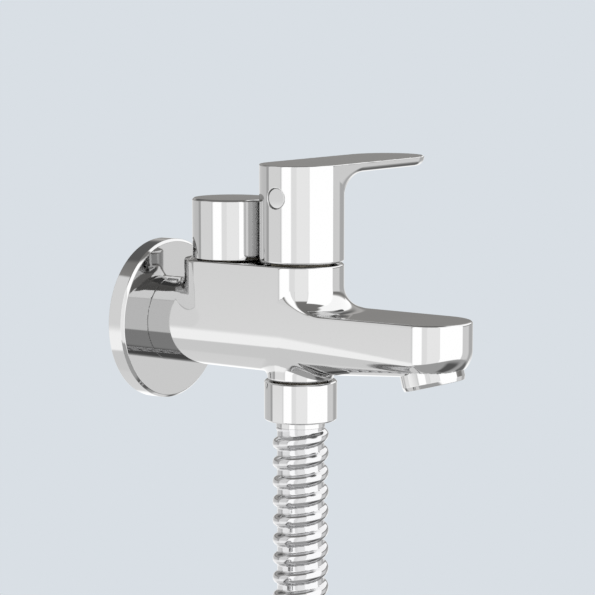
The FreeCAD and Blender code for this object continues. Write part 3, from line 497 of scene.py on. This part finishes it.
def casting_form(x, y, z):
    """The body: neck, block, column, spout and bosses, less its chambers, sockets and bores."""
    s = settings().casting
    width, edge = s.half_width, s.edge
    rear = np.maximum(s.rear_place - x, 0)
    front = np.maximum(x - s.front_place, 0)
    above = np.maximum(np.maximum(soft_lesser(rear, z, s.seam_blend), 0), front)
    core = np.hypot(y, np.where(z < 0, np.hypot(z, front), above)) - width
    block = round_common(core, z - s.height, edge)
    block = round_common(block, s.neck_start - x, NECK_EDGE)

    along = x - s.front_place
    reach = s.tip_place - s.front_place
    taper = (width - s.tip_radius) / reach
    level = math.sqrt(1 - taper ** 2)
    slant = -taper * np.abs(y) + level * along
    plan = level * np.abs(y) + taper * along - width
    plan = np.where(slant > level * reach, np.hypot(y, along - reach) - s.tip_radius, plan)
    plan = np.where(slant < 0, np.abs(y) - width, plan)
    spread = s.tip_place - s.spout_start
    part = np.clip((x - s.spout_start) / spread, 0, 1)
    chin = s.chin * np.clip((x - s.tip_place) / s.tip_radius, 0, 1) ** 2
    bend = width + (s.tip_round - width) * part + chin
    keel = -width + math.tan(s.spout_rise) * spread * part
    out, down = plan + bend, keel + bend - z
    skin = np.hypot(np.maximum(out, 0), np.maximum(down, 0)) + np.minimum(np.maximum(out, down), 0) - bend
    column = np.hypot(y, front) - width
    fading = np.clip((x - s.front_place) / ROOT_FADE, 0, 1)
    rim = edge + (s.root_edge - edge) * (1 - fading) ** 2
    spout = round_common(round_union(column, z - s.spout_height, s.root_fillet), skin, rim)
    spout = np.maximum(np.maximum(spout, z - SPOUT_ROOF), SPOUT_REAR - x)
    body = np.minimum(block, spout)

    boss_side = np.hypot(x - s.outlet_place, y)
    boss = np.maximum(round_common(boss_side - s.boss_radius, s.boss_bottom - z, edge), z - s.boss_root)
    body = round_union(body, boss, s.boss_blend)

    height, side = aerator_axis(x, y, z)
    holes = [(side - s.aerator_socket, height - s.aerator_seat),
             (side - s.aerator_thread, height - s.thread_top),
             (side - s.throat, height - s.throat_top),
             (np.hypot(y, z) - s.inlet_bore, x - s.inlet_depth),
             (boss_side - s.nipple_bore, z - s.boss_bottom - s.nipple_depth)]
    for place in (settings().handles.lever_place, settings().handles.knob_place):
        turn = np.hypot(x - place, y)
        holes += [(turn - s.chamber_radius, s.height - s.chamber_thread - z),
                  (turn - s.chamber_bore, s.chamber_floor - z)]
    return round_common(body, -bores(*holes), s.hole_edge)


def lever_form(x, y, z):
    """The lever: hub and blade with the fillet between them, less the hub's hollow, socket and holes."""
    s = settings().handles
    turn = s.open_turn
    dx = x - s.lever_place
    u = dx * math.cos(turn) + y * math.sin(turn)
    v = -dx * math.sin(turn) + y * math.cos(turn)
    hub = np.hypot(u, v) - s.lever_radius
    plan = np.hypot(np.maximum(u - s.blade_reach, 0) + np.minimum(u, 0), v) - s.lever_radius
    climb = math.tan(s.blade_rise) * u
    under = s.lever_top - s.blade_thick + climb - z
    blade = round_common(round_union(hub, under, s.root_fillet), plan, s.blade_round)
    form = round_common(np.minimum(hub, blade), z - s.lever_top - climb, s.edge)
    form = round_common(form, s.lever_skirt - z, s.skirt_round)
    side, across = np.hypot(u, v), np.hypot(v, z - s.plug_height)
    holes = bores((side - s.hollow_radius, z - s.hollow_top), (side - s.bush_radius, z - s.bush_top),
                  (across - s.plug_radius - s.plug_play, u + s.lever_radius - s.plug_depth),
                  (across - s.lever_hole, u))
    return round_common(form, -holes, s.hole_edge)


# Materials

def add_node(tree, kind, inputs=None, **values):
    """Adds a node with its settings. An input is a value, or another node's output that is linked to it."""
    node = tree.nodes.new("ShaderNode" + kind)
    for name, value in values.items():
        setattr(node, name, value)
    for name, value in (inputs or {}).items():
        if isinstance(value, bpy.types.NodeSocket):
            tree.links.new(value, node.inputs[name])
        else:
            node.inputs[name].default_value = value
    return node


# The finish of each slot: material, colour, metallic, roughness and how far it wanders, and the length and
# height of the surface's waves in millimetres
SLOT_FINISHES = {
    # Chrome plate on polished brass: a mirror with the faint waves of the polishing wheel
    "chrome": ("polished_chrome_plate", "chrome", 1.0, 0.045, 0.015, 14, 0.002),
    "plug_chrome": ("polished_chrome_plate", "chrome", 1.0, 0.045, 0.015, 14, 0.002),
    # Chromed strip wound into a hose: nearly as bright as the chrome, with more draw marks. Its colour is a
    # little darker all over, as painted shade for the valleys between the ribs
    "hose_steel": ("chromed_hose_strip", "hose", 1.0, 0.10, 0.03, 3, 0.004),
    # Turned brass under a dull nickel wash, darkened all over as painted shade for the dim gaps where it
    # shows: fine tool marks and a faint warm tint
    "brass": ("nickel_brass_painted_shade", "brass", 1.0, 0.4, 0.06, 0.8, 0.003),
    # Stainless steel, stamped or turned: greyer than the chrome, with a satin sheen
    "steel": ("stainless_steel", "steel", 1.0, 0.24, 0.05, 1.2, 0.002),
    # Lapped alumina: pale, dense and slightly glossy
    "ceramic": ("lapped_alumina", "ceramic", 0.0, 0.18, 0.04, 2, 0.001),
    # Moulded nitrile rubber: near black with a soft sheen
    "rubber": ("nitrile_rubber", "rubber", 0.0, 0.55, 0.08, 1, 0.01),
    # Moulded acetal: milky and slightly waxy
    "insert_plastic": ("moulded_acetal", "insert", 0.0, 0.38, 0.06, 1.5, 0.004),
    # Moulded nylon with a cream tint
    "bush_plastic": ("moulded_nylon", "bush", 0.0, 0.42, 0.06, 1.5, 0.004),
    # Soft polythene strap: pale, with blurred highlights
    "tie": ("polythene_strap", "tie", 0.0, 0.45, 0.08, 1.2, 0.01),
}


def blank_tree(owner):
    """The node tree of a material or world, emptied."""
    owner.use_nodes = True
    owner.node_tree.nodes.clear()
    return owner.node_tree


def finish_of(slot):
    """The slot's material, made once. Its roughness wanders and its surface waves gently."""
    name, paint, metallic, rough, wander, wave, depth = SLOT_FINISHES[slot]
    if name in bpy.data.materials:
        return bpy.data.materials[name]
    material = bpy.data.materials.new(name)
    tree = blank_tree(material)
    place = add_node(tree, "TexCoord").outputs["Object"]
    noise = add_node(tree, "TexNoise", {"Vector": place, "Scale": 1 / (wave * MM), "Detail": 2.0})
    roughness = add_node(tree, "MapRange", {
        "Value": noise.outputs["Fac"], "From Min": 0.3, "From Max": 0.7, "To Min": rough - wander,
        "To Max": rough + wander})
    bump = add_node(tree, "Bump", {"Height": noise.outputs["Fac"], "Strength": 1.0, "Distance": depth * MM})
    shader = add_node(tree, "BsdfPrincipled", {
        "Base Color": getattr(settings().finishes, paint), "Metallic": metallic,
        "Roughness": roughness.outputs["Result"], "Normal": bump.outputs["Normal"]})
    add_node(tree, "OutputMaterial", {"Surface": shader.outputs["BSDF"]})
    return material


# Operators

# The camera, as measured on the photograph's outlines
CAMERA_AIM = Vector((67.13, 0, 12.53)) * MM
CAMERA_TURN, CAMERA_DROP = math.radians(35.15), math.radians(7.18)
CAMERA_FAR = 794.8 * MM
CAMERA_LENS, CAMERA_SENSOR = 126.6, 36.0


class TAP_OT_camera(Operator):
    """Sets the camera at the photograph's angle"""
    bl_idname = "tap.camera"
    bl_label = "Camera"

    def execute(self, context):
        away = Vector((math.sin(CAMERA_TURN) * math.cos(CAMERA_DROP),
                       -math.cos(CAMERA_TURN) * math.cos(CAMERA_DROP), math.sin(CAMERA_DROP)))
        data = bpy.data.cameras.new("photo_camera")
        data.sensor_width = CAMERA_SENSOR
        data.lens = CAMERA_LENS
        data.clip_start, data.clip_end = 0.01, 100
        camera = bpy.data.objects.new("photo_camera", data)
        context.collection.objects.link(camera)
        camera.location = CAMERA_AIM + away * CAMERA_FAR
        camera.rotation_euler = away.to_track_quat("Z", "Y").to_euler()
        context.scene.camera = camera
        return {"FINISHED"}


def coil_spot(angle):
    """A point of the hose's coil, which starts straight down below the run and steps towards the wall."""
    s = settings().hose
    return Vector((settings().casting.outlet_place - s.coil_step * (angle - math.sin(angle)) / math.tau,
                   s.coil_radius * (math.cos(angle) - 1),
                   s.top - s.run - s.coil_radius * math.sin(angle)))


def coil_heading(angle):
    """The hose's direction at that point."""
    s = settings().hose
    return Vector((-s.coil_step * (1 - math.cos(angle)) / math.tau,
                   -s.coil_radius * math.sin(angle), -s.coil_radius * math.cos(angle))).normalized()


def hose_end():
    """The bend out of the coil: the corner of its arms, its end, and the hose's last direction."""
    s = settings().hose
    first = coil_heading(s.coil_turn)
    outward = Vector((1, 0, 0)).cross(first).normalized()
    last = first * math.cos(s.bend_turn) + outward * math.sin(s.bend_turn)
    corner = coil_spot(s.coil_turn) + first * s.bend_radius * math.tan(s.bend_turn / 2)
    return corner, corner + last * s.bend_radius * math.tan(s.bend_turn / 2), last


def hose_line():
    """The hose's centreline as points of its spline, whose control points are the route's."""
    s = settings().hose
    steps = 26
    step = s.coil_turn / steps
    start = Vector((settings().casting.outlet_place, 0, s.top))
    spots = [start, coil_spot(0) + Vector((0, 0, s.coil_radius * step))]
    spots += [coil_spot(step * number) for number in range(steps + 1)]
    corner, bent, last = hose_end()
    spots += [corner, bent + last * s.end_run]
    curve = bpy.data.curves.new("hose_line", "CURVE")
    curve.dimensions = "3D"
    curve.resolution_u = 24
    spline = curve.splines.new("NURBS")
    spline.points.add(len(spots) - 1)
    for point, spot in zip(spline.points, spots):
        point.co = (*spot, 1)
    spline.order_u = 3
    spline.use_endpoint_u = True
    line = bpy.data.objects.new("hose_line", curve)
    bpy.context.collection.objects.link(line)
    bpy.context.view_layer.update()
    mesh = bpy.data.meshes.new_from_object(line)
    places = vertex_places(mesh)
    bpy.data.meshes.remove(mesh)
    bpy.data.curves.remove(curve)
    if places[0][2] < places[-1][2]:
        places = places[::-1]
    return places


# The mesh of the hose has this many rings to a rib near the tap, for this many ribs, and fewer beyond
NEAR_RINGS, NEAR_RIBS, FAR_RINGS = 22, 13, 11
# Powers that make a rib's crest flat and its flanks steep. The ribs fade out over this share of the pitch
FLAT_CREST, STEEP_FLANK, END_FADE = 2.6, 0.75, 0.35


class TAP_OT_hose(Operator):
    """Winds the ribbed hose along its route, with the tie round its coil"""
    bl_idname = "tap.hose"
    bl_label = "Hose"

    def execute(self, context):
        s = settings().hose
        line = hose_line()
        run = np.concatenate([[0], np.cumsum(np.linalg.norm(np.diff(line, axis=0), axis=1))])
        near = NEAR_RIBS * s.pitch
        along = np.concatenate([np.arange(0, near, s.pitch / NEAR_RINGS),
                                np.arange(near, run[-1], s.pitch / FAR_RINGS), [run[-1]]])
        centres = np.stack([np.interp(along, run, line[:, axis]) for axis in range(3)], axis=1)
        headings = unit(np.gradient(centres, along, axis=0))
        across = unit(np.array([1.0, 0, 0]) - headings[:, :1] * headings)
        faded = np.clip(np.minimum(along, run[-1] - along) / (END_FADE * s.pitch), 0, 1)[:, None]

        def outside(turns):
            part = (along[:, None] / s.pitch + turns[None, :]) % 1
            spread = np.clip(np.abs(part - 0.5) / (s.rib_share / 2), 0, 1)
            hump = (1 - spread ** FLAT_CREST) ** STEEP_FLANK
            return s.valley + (s.crest - s.valley) * hump * faded

        hose = ribbed_tube("hose", centres, headings, across, outside, s.bore, 56)
        finished(hose, TAP, "hose_steel", "hose_run", "hose_coil")
        tie = self.tie()
        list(far_coupling())
        return {"FINISHED"}

    def tie(self):
        """A strap round the two turns that lie beside each other."""
        s = settings().hose
        strap = named(stock(bpy.ops.mesh.primitive_circle_add, vertices=96, radius=s.crest + s.tie_play,
                            location=(0, 0, -s.tie_width / 2)), "hose_strap")
        for side in (1, -1):
            for vertex in strap.data.vertices:
                vertex.select = vertex.co.x * side > SAME_SPOT
            with editing(strap, whole=False):
                bpy.ops.transform.translate(value=(side * s.coil_step / 2, 0, 0))
        with editing(strap):
            bpy.ops.mesh.extrude_region_move(TRANSFORM_OT_translate={"value": (0, 0, s.tie_width)})
            bpy.ops.mesh.select_all(action="SELECT")
            bpy.ops.mesh.normals_make_consistent(inside=False)
        apply_modifier(strap, "SOLIDIFY", thickness=s.tie_thick, offset=1)
        shade(strap, 0.3 * MM)
        heading = coil_heading(s.tie_place)
        first = (Vector((1, 0, 0)) - heading * heading.x).normalized()
        second = heading.cross(first)
        spot = coil_spot(s.tie_place) - Vector((s.coil_step / 2, 0, 0))
        turn = Matrix((first, second, heading)).transposed().to_4x4()
        put_in_place(strap, Matrix.Translation(spot) @ turn)
        return finished(strap, TAP, "tie", "hose_tie")


# Outlines of the hose's tail and nut, as (radius, height) in millimetres over the hose's end
TAIL = [(5, -13), (6.3, -13), (6.3, 0), (9.4, 0), (9.4, 5.6), (10.1, 5.6), (10.1, 7.2), (5, 7.2)]
NUT = [(9.46, 2.6), (13.4, 2.6), (13.9, 3.1), (13.9, 17.3), (13.4, 17.8), (10.38, 17.8), (10.38, 9.2),
       (10.9, 9.2), (10.9, 5.54), (9.46, 5.54)]


def chromed(name, outline, place, edge, body, node, **values):
    """A turned and chromed piece for one CAD node, with its edge's round in millimetres."""
    return finished(turned(name, outline, place, edge * MM, **values), body, "chrome", node)


def far_coupling():
    """The tail and the swivel nut on the hose's far end."""
    _, bent, heading = hose_end()
    spot = bent + heading * settings().hose.end_run
    place = Matrix.Translation(spot) @ heading.to_track_quat("Z", "Y").to_matrix().to_4x4()
    return (chromed("far_tail", TAIL, place, 0.15, TAP, "hose_far_tail"),
            chromed("far_nut_shell", NUT, place, 0.15, FAR_NUT, "hose_far_nut"))


class TAP_OT_coupling(Operator):
    """Turns the nut and the hose tail under the body"""
    bl_idname = "tap.coupling"
    bl_label = "Coupling"

    def execute(self, context):
        place = Matrix.Translation((settings().casting.outlet_place, 0, settings().hose.top))
        chromed("outlet_nut", NUT, place, 0.15, TAP, "hose_nut")
        chromed("outlet_tail", TAIL, place, 0.15, TAP, "hose_tail")
        return {"FINISHED"}


class TAP_OT_casting(Operator):
    """Casts the body from stock, drills it and grinds it to its form, with the threaded spigot behind it"""
    bl_idname = "tap.casting"
    bl_label = "Body Casting"

    def execute(self, context):
        s, h = settings().casting, settings().handles
        width, top = s.half_width, s.height
        neck = rod(width, (s.neck_start, 0, 0), (s.front_place, 0, 0))
        nose = ball(width, (s.front_place, 0, 0))
        rear, front = (post(width, place, 0, top) for place in (s.rear_place, s.front_place))
        middle = bar((s.rear_place, -width, 0), (s.front_place, width, top))
        spout = hulled(ball(width, (s.front_place, 0, 0)), post(width, s.front_place, 0, s.spout_height),
                       post(s.tip_radius, s.tip_place, -5 * MM, s.spout_height),
                       post(s.tip_radius - 4 * MM, s.tip_place, -11 * MM, 0))
        boss = post(s.boss_radius, s.outlet_place, s.boss_bottom, s.boss_root)
        casting = remeshed(joined(neck, nose, rear, front, middle, spout, boss), 1 * MM)
        # Cutters overlap by a millimetre and stand out of the metal, so that no thin skin is left
        cutters = [rod(s.inlet_bore, (0, 0, 0), (s.inlet_depth, 0, 0)),
                   post(s.nipple_bore, s.outlet_place, -30 * MM, s.boss_bottom + s.nipple_depth)]
        for place in (h.lever_place, h.knob_place):
            cutters += [post(s.chamber_bore, place, s.chamber_floor, top - s.chamber_thread + 1 * MM),
                        post(s.chamber_radius, place, top - s.chamber_thread, top + 5 * MM)]
        for radius, low, high in ((s.aerator_socket, -5 * MM, s.aerator_seat),
                                  (s.aerator_thread, 3 * MM, s.thread_top),
                                  (s.throat, s.thread_top - 1 * MM, s.throat_top)):
            ends = [AERATOR_PLACE @ Vector((0, 0, height)) for height in (low, high)]
            cutters.append(rod(radius, *ends))
        drill(casting, remeshed(joined(*cutters), 0.8 * MM))
        named(remeshed(casting, s.grain), "casting")
        finished(pressed(casting, casting_form), TAP, "chrome", "body_casting")
        self.spigot()
        return {"FINISHED"}

    def spigot(self):
        """The inlet's pipe thread, which screws into the wall."""
        pitch, crest, root, end, chamfer, plain = 1.814 * MM, 10.48 * MM, 9.4 * MM, 14 * MM, 1 * MM, 0.9 * MM
        undercut, reach = 10.1 * MM, end + 0.5 * MM
        along = np.linspace(0, reach, int(reach / pitch * 16))
        neck = np.linspace(reach + 0.02 * MM, end + settings().casting.neck_start + 0.6 * MM, 4)
        along = np.concatenate([along, neck])
        centres = np.stack([along - end, 0 * along, 0 * along], axis=1)
        headings = np.tile([1.0, 0, 0], (len(along), 1))
        across = np.tile([0, 1.0, 0], (len(along), 1))

        def outside(turns):
            part = (along[:, None] / pitch + turns[None, :]) % 1
            tooth = np.clip(1.35 - 3.4 * np.abs(part - 0.5), 0, 1)
            radii = root + (crest - root) * tooth
            radii = np.minimum(radii, crest - chamfer + along[:, None])
            radii = np.where(along[:, None] > end - plain, crest, radii)
            return np.where(along[:, None] > reach, undercut, radii)

        bore = settings().casting.inlet_bore
        finished(ribbed_tube("inlet_spigot", centres, headings, across, outside, bore, 120), TAP, "chrome")


class TAP_OT_wall_flange(Operator):
    """Spins the cover flange that stands against the wall"""
    bl_idname = "tap.wall_flange"
    bl_label = "Wall Flange"

    def execute(self, context):
        outline = [(10.73, 5.6), (29.0, 5.6), (30.0, 4.6), (30.0, 0), (31.6, 0), (31.6, 6.2), (30.6, 7.2),
                   (10.73, 7.2)]
        chromed("cover_flange", outline, ALONG_X, 0.2, TAP, "wall_flange")
        return {"FINISHED"}


class TAP_OT_lever(Operator):
    """Casts the lever, drills it and grinds it to its form, with the index plug in its hub"""
    bl_idname = "tap.lever"
    bl_label = "Lever"

    def execute(self, context):
        s = settings().handles
        radius, top = s.lever_radius, s.lever_top
        thin = top - s.blade_thick
        hub, tip = post(radius, 0, s.lever_skirt, top), post(radius, s.blade_reach, thin, top)
        blade = bar((0, -radius, thin), (s.blade_reach, radius, top))
        wedge = bar((0, -radius + 4 * MM, thin - 3 * MM), (radius + 3 * MM, radius - 4 * MM, top))
        lever = remeshed(joined(hub, blade, tip, wedge), 0.9 * MM)
        cutters = [post(s.hollow_radius, 0, s.lever_skirt - 5 * MM, s.hollow_top),
                   post(s.bush_radius, 0, s.hollow_top - 1 * MM, s.bush_top),
                   rod(s.plug_radius, (-radius - 3 * MM, 0, s.plug_height),
                       (s.plug_depth - radius, 0, s.plug_height)),
                   rod(s.lever_hole, (-radius, 0, s.plug_height), (0, 0, s.plug_height))]
        drill(lever, remeshed(joined(*cutters), 0.6 * MM))
        place = Matrix.Translation((s.lever_place, 0, 0)) @ Matrix.Rotation(s.open_turn, 4, "Z")
        put_in_place(lever, place)
        named(remeshed(lever, s.grain), "lever_shell")
        finished(pressed(lever, lever_form), LEVER, "chrome", "lever_handle")
        spot = place @ Matrix.Translation((s.plug_depth - radius, 0, s.plug_height)) @ ALONG_X.inverted()
        rim, face = s.plug_radius / MM, s.plug_thick / MM
        plug = turned("index_plug", [(0, 0), (rim, 0), (rim, face - 0.3), (rim - 0.3, face), (0, face)], spot,
                      0.08 * MM, closed=False)
        finished(plug, LEVER, "plug_chrome", "lever_index_plug")
        return {"FINISHED"}


class TAP_OT_knob(Operator):
    """Turns the hollow knob of the hose outlet"""
    bl_idname = "tap.knob"
    bl_label = "Knob"

    def execute(self, context):
        s = settings().handles
        outer, inner, socket = s.knob_radius / MM, (s.knob_radius - s.knob_wall) / MM, s.bush_radius / MM
        skirt, top, chamfer = s.knob_skirt / MM, s.knob_top / MM, s.knob_chamfer / MM
        hollow, bush = s.knob_hollow / MM, s.knob_bush_top / MM
        knob = turned("knob_shell", [
            (0, bush), (socket, bush), (socket, hollow), (inner, hollow), (inner, skirt), (outer, skirt),
            (outer, top - chamfer), (outer - chamfer, top), (0, top)], None, 0.18 * MM, closed=False)
        drill(knob, rod(s.knob_hole, (-s.knob_radius - 2 * MM, 0, s.knob_screw), (0, 0, s.knob_screw), 48))
        shade(knob, 0)
        put_in_place(knob, Matrix.Translation((s.knob_place, 0, 0)))
        finished(knob, KNOB, "chrome", "knob")
        return {"FINISHED"}


class TAP_OT_aerator(Operator):
    """Turns the threaded outlet ring under the spout's tip"""
    bl_idname = "tap.aerator"
    bl_label = "Aerator"

    def execute(self, context):
        outline = [(8.7, 0), (11.2, 0), (11.7, 1.5), (11.7, 7.2), (10.5, 7.2), (10.5, 8.0), (9.1, 8.0),
                   (9.1, 1.2), (8.7, 1.2)]
        chromed("outlet_ring", outline, AERATOR_PLACE, 0.15, TAP, "aerator_housing", limit=15)
        return {"FINISHED"}


class TAP_OT_inner_parts(Operator):
    """Gives the CAD's own valve parts, seals and screws their finishes"""
    bl_idname = "tap.inner_parts"
    bl_label = "Inner Parts"

    def execute(self, context):
        slots = {part["node"]: part["material_slot"] for part in frame["record"]["subparts"]}
        for name, node in frame["nodes"].items():
            if not node.material_slots:
                node.data.materials.append(None)
            for slot in node.material_slots:
                slot.material = finish_of(slots[name])
        return {"FINISHED"}


# The studio round the tap, as brightness in sRGB levels. Its backdrop changes with the rise in degrees
STUDIO_BACKDROP = [(-90, 222), (-60, 208), (-36, 196), (-32, 226), (-18, 228), (-8, 196), (-1, 190), (4, 114),
                   (8, 114), (12, 150), (29, 145), (43, 131), (52, 112), (90, 108)]
# Screens before it: heading from the front and rise, each from and to in degrees, brightness, and how soft
# the edges are along the heading and the rise, in degrees
STUDIO_SCREENS = [
    ((-190, -164), (-14, 3), 152, (8, 8)),
    ((-190, -166), (10, 60), 245, (3, 3)),
    ((122, 190), (14, 68), 245, (3, 3)),
    ((-160, -92), (22, 62), 84, (6, 6)),
    ((-122, -76), (-14, 3), 182, (4, 4)),
    ((-76, -65), (-14, 32), 155, (2, 2)),
    ((-65, -25), (-12, 44), 207, (1, 1)),
    ((-65, -25), (-44, -11), 238, (2, 6)),
    ((-21, 7), (-32, 42), 255, (3, 8)),
    ((7, 20), (-32, 44), 219, (1, 6)),
    ((20, 56), (-32, 46), 229, (2, 4)),
    ((56, 129), (-32, 56), 255, (1, 2)),
    ((130, 160), (-32, 2), 200, (2, 2)),
    ((160, 190), (-32, 2), 160, (6, 6)),
    ((150, 190), (-46, -25), 96, (5, 4)),
    ((-190, -166), (-46, -25), 96, (5, 4)),
    ((-80, 6), (-88, -34), 198, (4, 1.5)),
    ((-20, 160), (-88, -25), 152, (6, 1.5)),
    ((88, 138), (-72, -33), 82, (10, 7)),
]
WARM_WALL = (1.02, 1.0, 0.975)
# Each lamp's place in metres, its power in watts and its size in metres
STUDIO_LAMPS = [("soft_key", (0.9, -1.1, 1.5), 9.0, 1.0), ("soft_fill", (-0.9, -0.9, 1.0), 3.0, 1.2)]


def brightness(level):
    """Linear light that chrome shows as this sRGB level."""
    return linear("#" + f"{round(level):02x}" * 3)[0] / settings().finishes.chrome[0]


class TAP_OT_stage(Operator):
    """Builds the pale studio: its walls and ceiling in the world, a floor and soft lamps"""
    bl_idname = "tap.stage"
    bl_label = "Stage"

    def execute(self, context):
        self.studio(context.scene)
        self.floor()
        self.lamps(context)
        context.scene.view_settings.view_transform = "Standard"
        return {"FINISHED"}

    def studio(self, scene):
        scene.world = bpy.data.worlds.new("studio")
        tree = blank_tree(scene.world)
        direction = add_node(tree, "TexCoord").outputs["Generated"]
        parts = add_node(tree, "SeparateXYZ", {"Vector": direction})
        front = add_node(tree, "Math", {0: parts.outputs["Y"], 1: -1.0}, operation="MULTIPLY")
        heading = add_node(tree, "Math", {0: parts.outputs["X"], 1: front.outputs[0]}, operation="ARCTAN2")
        rise = add_node(tree, "Math", {0: parts.outputs["Z"]}, operation="ARCSINE")
        place = add_node(tree, "CombineXYZ", {"X": heading.outputs[0], "Y": rise.outputs[0]})
        share = add_node(tree, "MapRange", {
            "Value": rise.outputs[0], "From Min": -math.pi / 2, "From Max": math.pi / 2})
        stops = []
        for angle, level in STUDIO_BACKDROP:
            wall = WARM_WALL if angle > 0 else (1, 1, 1)
            stops.append(((angle + 90) / 180, tuple(brightness(level) * tint for tint in wall)))
        room = self.ramp(tree, share.outputs["Result"], stops)
        for span, height, level, soft in STUDIO_SCREENS:
            room = self.screen(tree, room, place.outputs[0], span, height, level, soft)
        seen = add_node(tree, "LightPath").outputs["Is Camera Ray"]
        light = add_node(tree, "Background", {"Color": room})
        plain = add_node(tree, "Background", {"Color": tuple(settings().finishes.backdrop)})
        both = add_node(tree, "MixShader", {0: seen, 1: light.outputs[0], 2: plain.outputs[0]})
        add_node(tree, "OutputWorld", {"Surface": both.outputs[0]})

    def screen(self, tree, room, place, span, height, level, soft):
        """A lit or dark screen before the backdrop, with soft edges."""
        ends = [tuple(math.radians(angle) for angle in pair) for pair in (span, height)]
        centre = [sum(pair) / 2 for pair in ends] + [0]
        half = [(pair[1] - pair[0]) / 2 for pair in ends]
        soft = [math.radians(angle) for angle in soft]
        away = add_node(tree, "VectorMath", {0: place, 1: centre}, operation="SUBTRACT")
        away = add_node(tree, "VectorMath", {0: away.outputs[0]}, operation="ABSOLUTE")
        # Sockets 7 to 10 of a Map Range node are its vector's limits
        mask = add_node(tree, "MapRange", {
            "Vector": away.outputs[0], 7: [value + edge for value, edge in zip(half, soft)] + [2],
            8: [value - edge for value, edge in zip(half, soft)] + [1],
            9: (0, 0, 0), 10: (1, 1, 1)}, data_type="FLOAT_VECTOR", interpolation_type="SMOOTHSTEP")
        sides = add_node(tree, "SeparateXYZ", {"Vector": mask.outputs["Vector"]})
        mask = add_node(tree, "Math", {0: sides.outputs["X"], 1: sides.outputs["Y"]}, operation="MULTIPLY")
        # Sockets 0, 6 and 7 of a Mix node are its factor and its two colours
        return add_node(tree, "Mix", {0: mask.outputs[0], 6: room, 7: (brightness(level),) * 3 + (1,)},
                        data_type="RGBA").outputs[2]

    def ramp(self, tree, factor, stops):
        """A colour ramp whose stops are given as (place, colour)."""
        node = add_node(tree, "ValToRGB", {"Fac": factor})
        elements = node.color_ramp.elements
        elements[0].position, elements[1].position = stops[0][0], stops[-1][0]
        for place, _ in stops[1:-1]:
            elements.new(place)
        for element, (place, shade_of) in zip(elements, stops):
            element.position = place
            element.color = (*shade_of, 1)
        return node.outputs["Color"]

    def floor(self):
        below = (0, 0, CAD_BOX[0][2] - 0.2 * MM)
        floor = named(stock(bpy.ops.mesh.primitive_plane_add, size=60, location=below), "floor")
        # Matt paint that runs into the backdrop's own colour where the camera sees it from afar
        material = bpy.data.materials.new("painted_floor")
        tree = blank_tree(material)
        place = add_node(tree, "TexCoord").outputs["Object"]
        away = add_node(tree, "VectorMath", {0: place}, operation="LENGTH")
        far = add_node(tree, "MapRange", {"Value": away.outputs["Value"], "From Min": 0.5, "From Max": 0.95},
                       interpolation_type="SMOOTHSTEP")
        backdrop = tuple(settings().finishes.backdrop)
        paint = add_node(tree, "BsdfPrincipled", {
            "Base Color": backdrop, "Roughness": 0.9, "Specular IOR Level": 0.1})
        plain = add_node(tree, "Emission", {"Color": backdrop})
        seen = add_node(tree, "LightPath").outputs["Is Camera Ray"]
        share = add_node(tree, "Math", {0: far.outputs["Result"], 1: seen}, operation="MULTIPLY")
        both = add_node(tree, "MixShader", {0: share.outputs[0], 1: paint.outputs[0], 2: plain.outputs[0]})
        add_node(tree, "OutputMaterial", {"Surface": both.outputs[0]})
        floor.data.materials.append(material)
        floor.visible_glossy = False

    def lamps(self, context):
        for name, spot, power, size in STUDIO_LAMPS:
            data = bpy.data.lights.new(name, "AREA")
            data.energy, data.size = power, size
            lamp = bpy.data.objects.new(name, data)
            context.collection.objects.link(lamp)
            lamp.location = spot
            lamp.rotation_euler = Vector(spot).to_track_quat("Z", "Y").to_euler()
            lamp.visible_glossy = False


class TAP_PT_panel(Panel):
    """Lists the pieces of the tap"""
    bl_idname = "TAP_PT_panel"
    bl_label = "Bib Tap"
    bl_space_type = "VIEW_3D"
    bl_region_type = "UI"
    bl_category = "Bib Tap"

    def draw(self, context):
        self.layout.prop(context.scene.tap_settings, "lathe_steps")
        for operator in OPERATORS:
            self.layout.operator(operator.bl_idname)
        for name in ("casting", "handles", "hose", "finishes"):
            box = self.layout.box()
            box.label(text=name.title())
            group = getattr(context.scene.tap_settings, name)
            for key in group.__annotations__:
                box.prop(group, key)


OPERATORS = (TAP_OT_camera, TAP_OT_inner_parts, TAP_OT_hose, TAP_OT_coupling, TAP_OT_casting,
             TAP_OT_wall_flange, TAP_OT_lever, TAP_OT_knob, TAP_OT_aerator, TAP_OT_stage)
CLASSES = (CastingSizes, HandleSizes, HoseSizes, Finishes, TapSettings, *OPERATORS, TAP_PT_panel)


def register():
    for cls in CLASSES:
        bpy.utils.register_class(cls)
    bpy.types.Scene.tap_settings = PointerProperty(type=TapSettings)


def unregister():
    del bpy.types.Scene.tap_settings
    for cls in reversed(CLASSES):
        bpy.utils.unregister_class(cls)


def main():
    register()
    bpy.ops.tap.camera()
    bpy.ops.tap.inner_parts()
    bpy.ops.tap.hose()
    bpy.ops.tap.coupling()
    bpy.ops.tap.casting()
    bpy.ops.tap.wall_flange()
    bpy.ops.tap.lever()
    bpy.ops.tap.knob()
    bpy.ops.tap.aerator()
    bpy.ops.tap.stage()


if __name__ == "__main__":
    main()
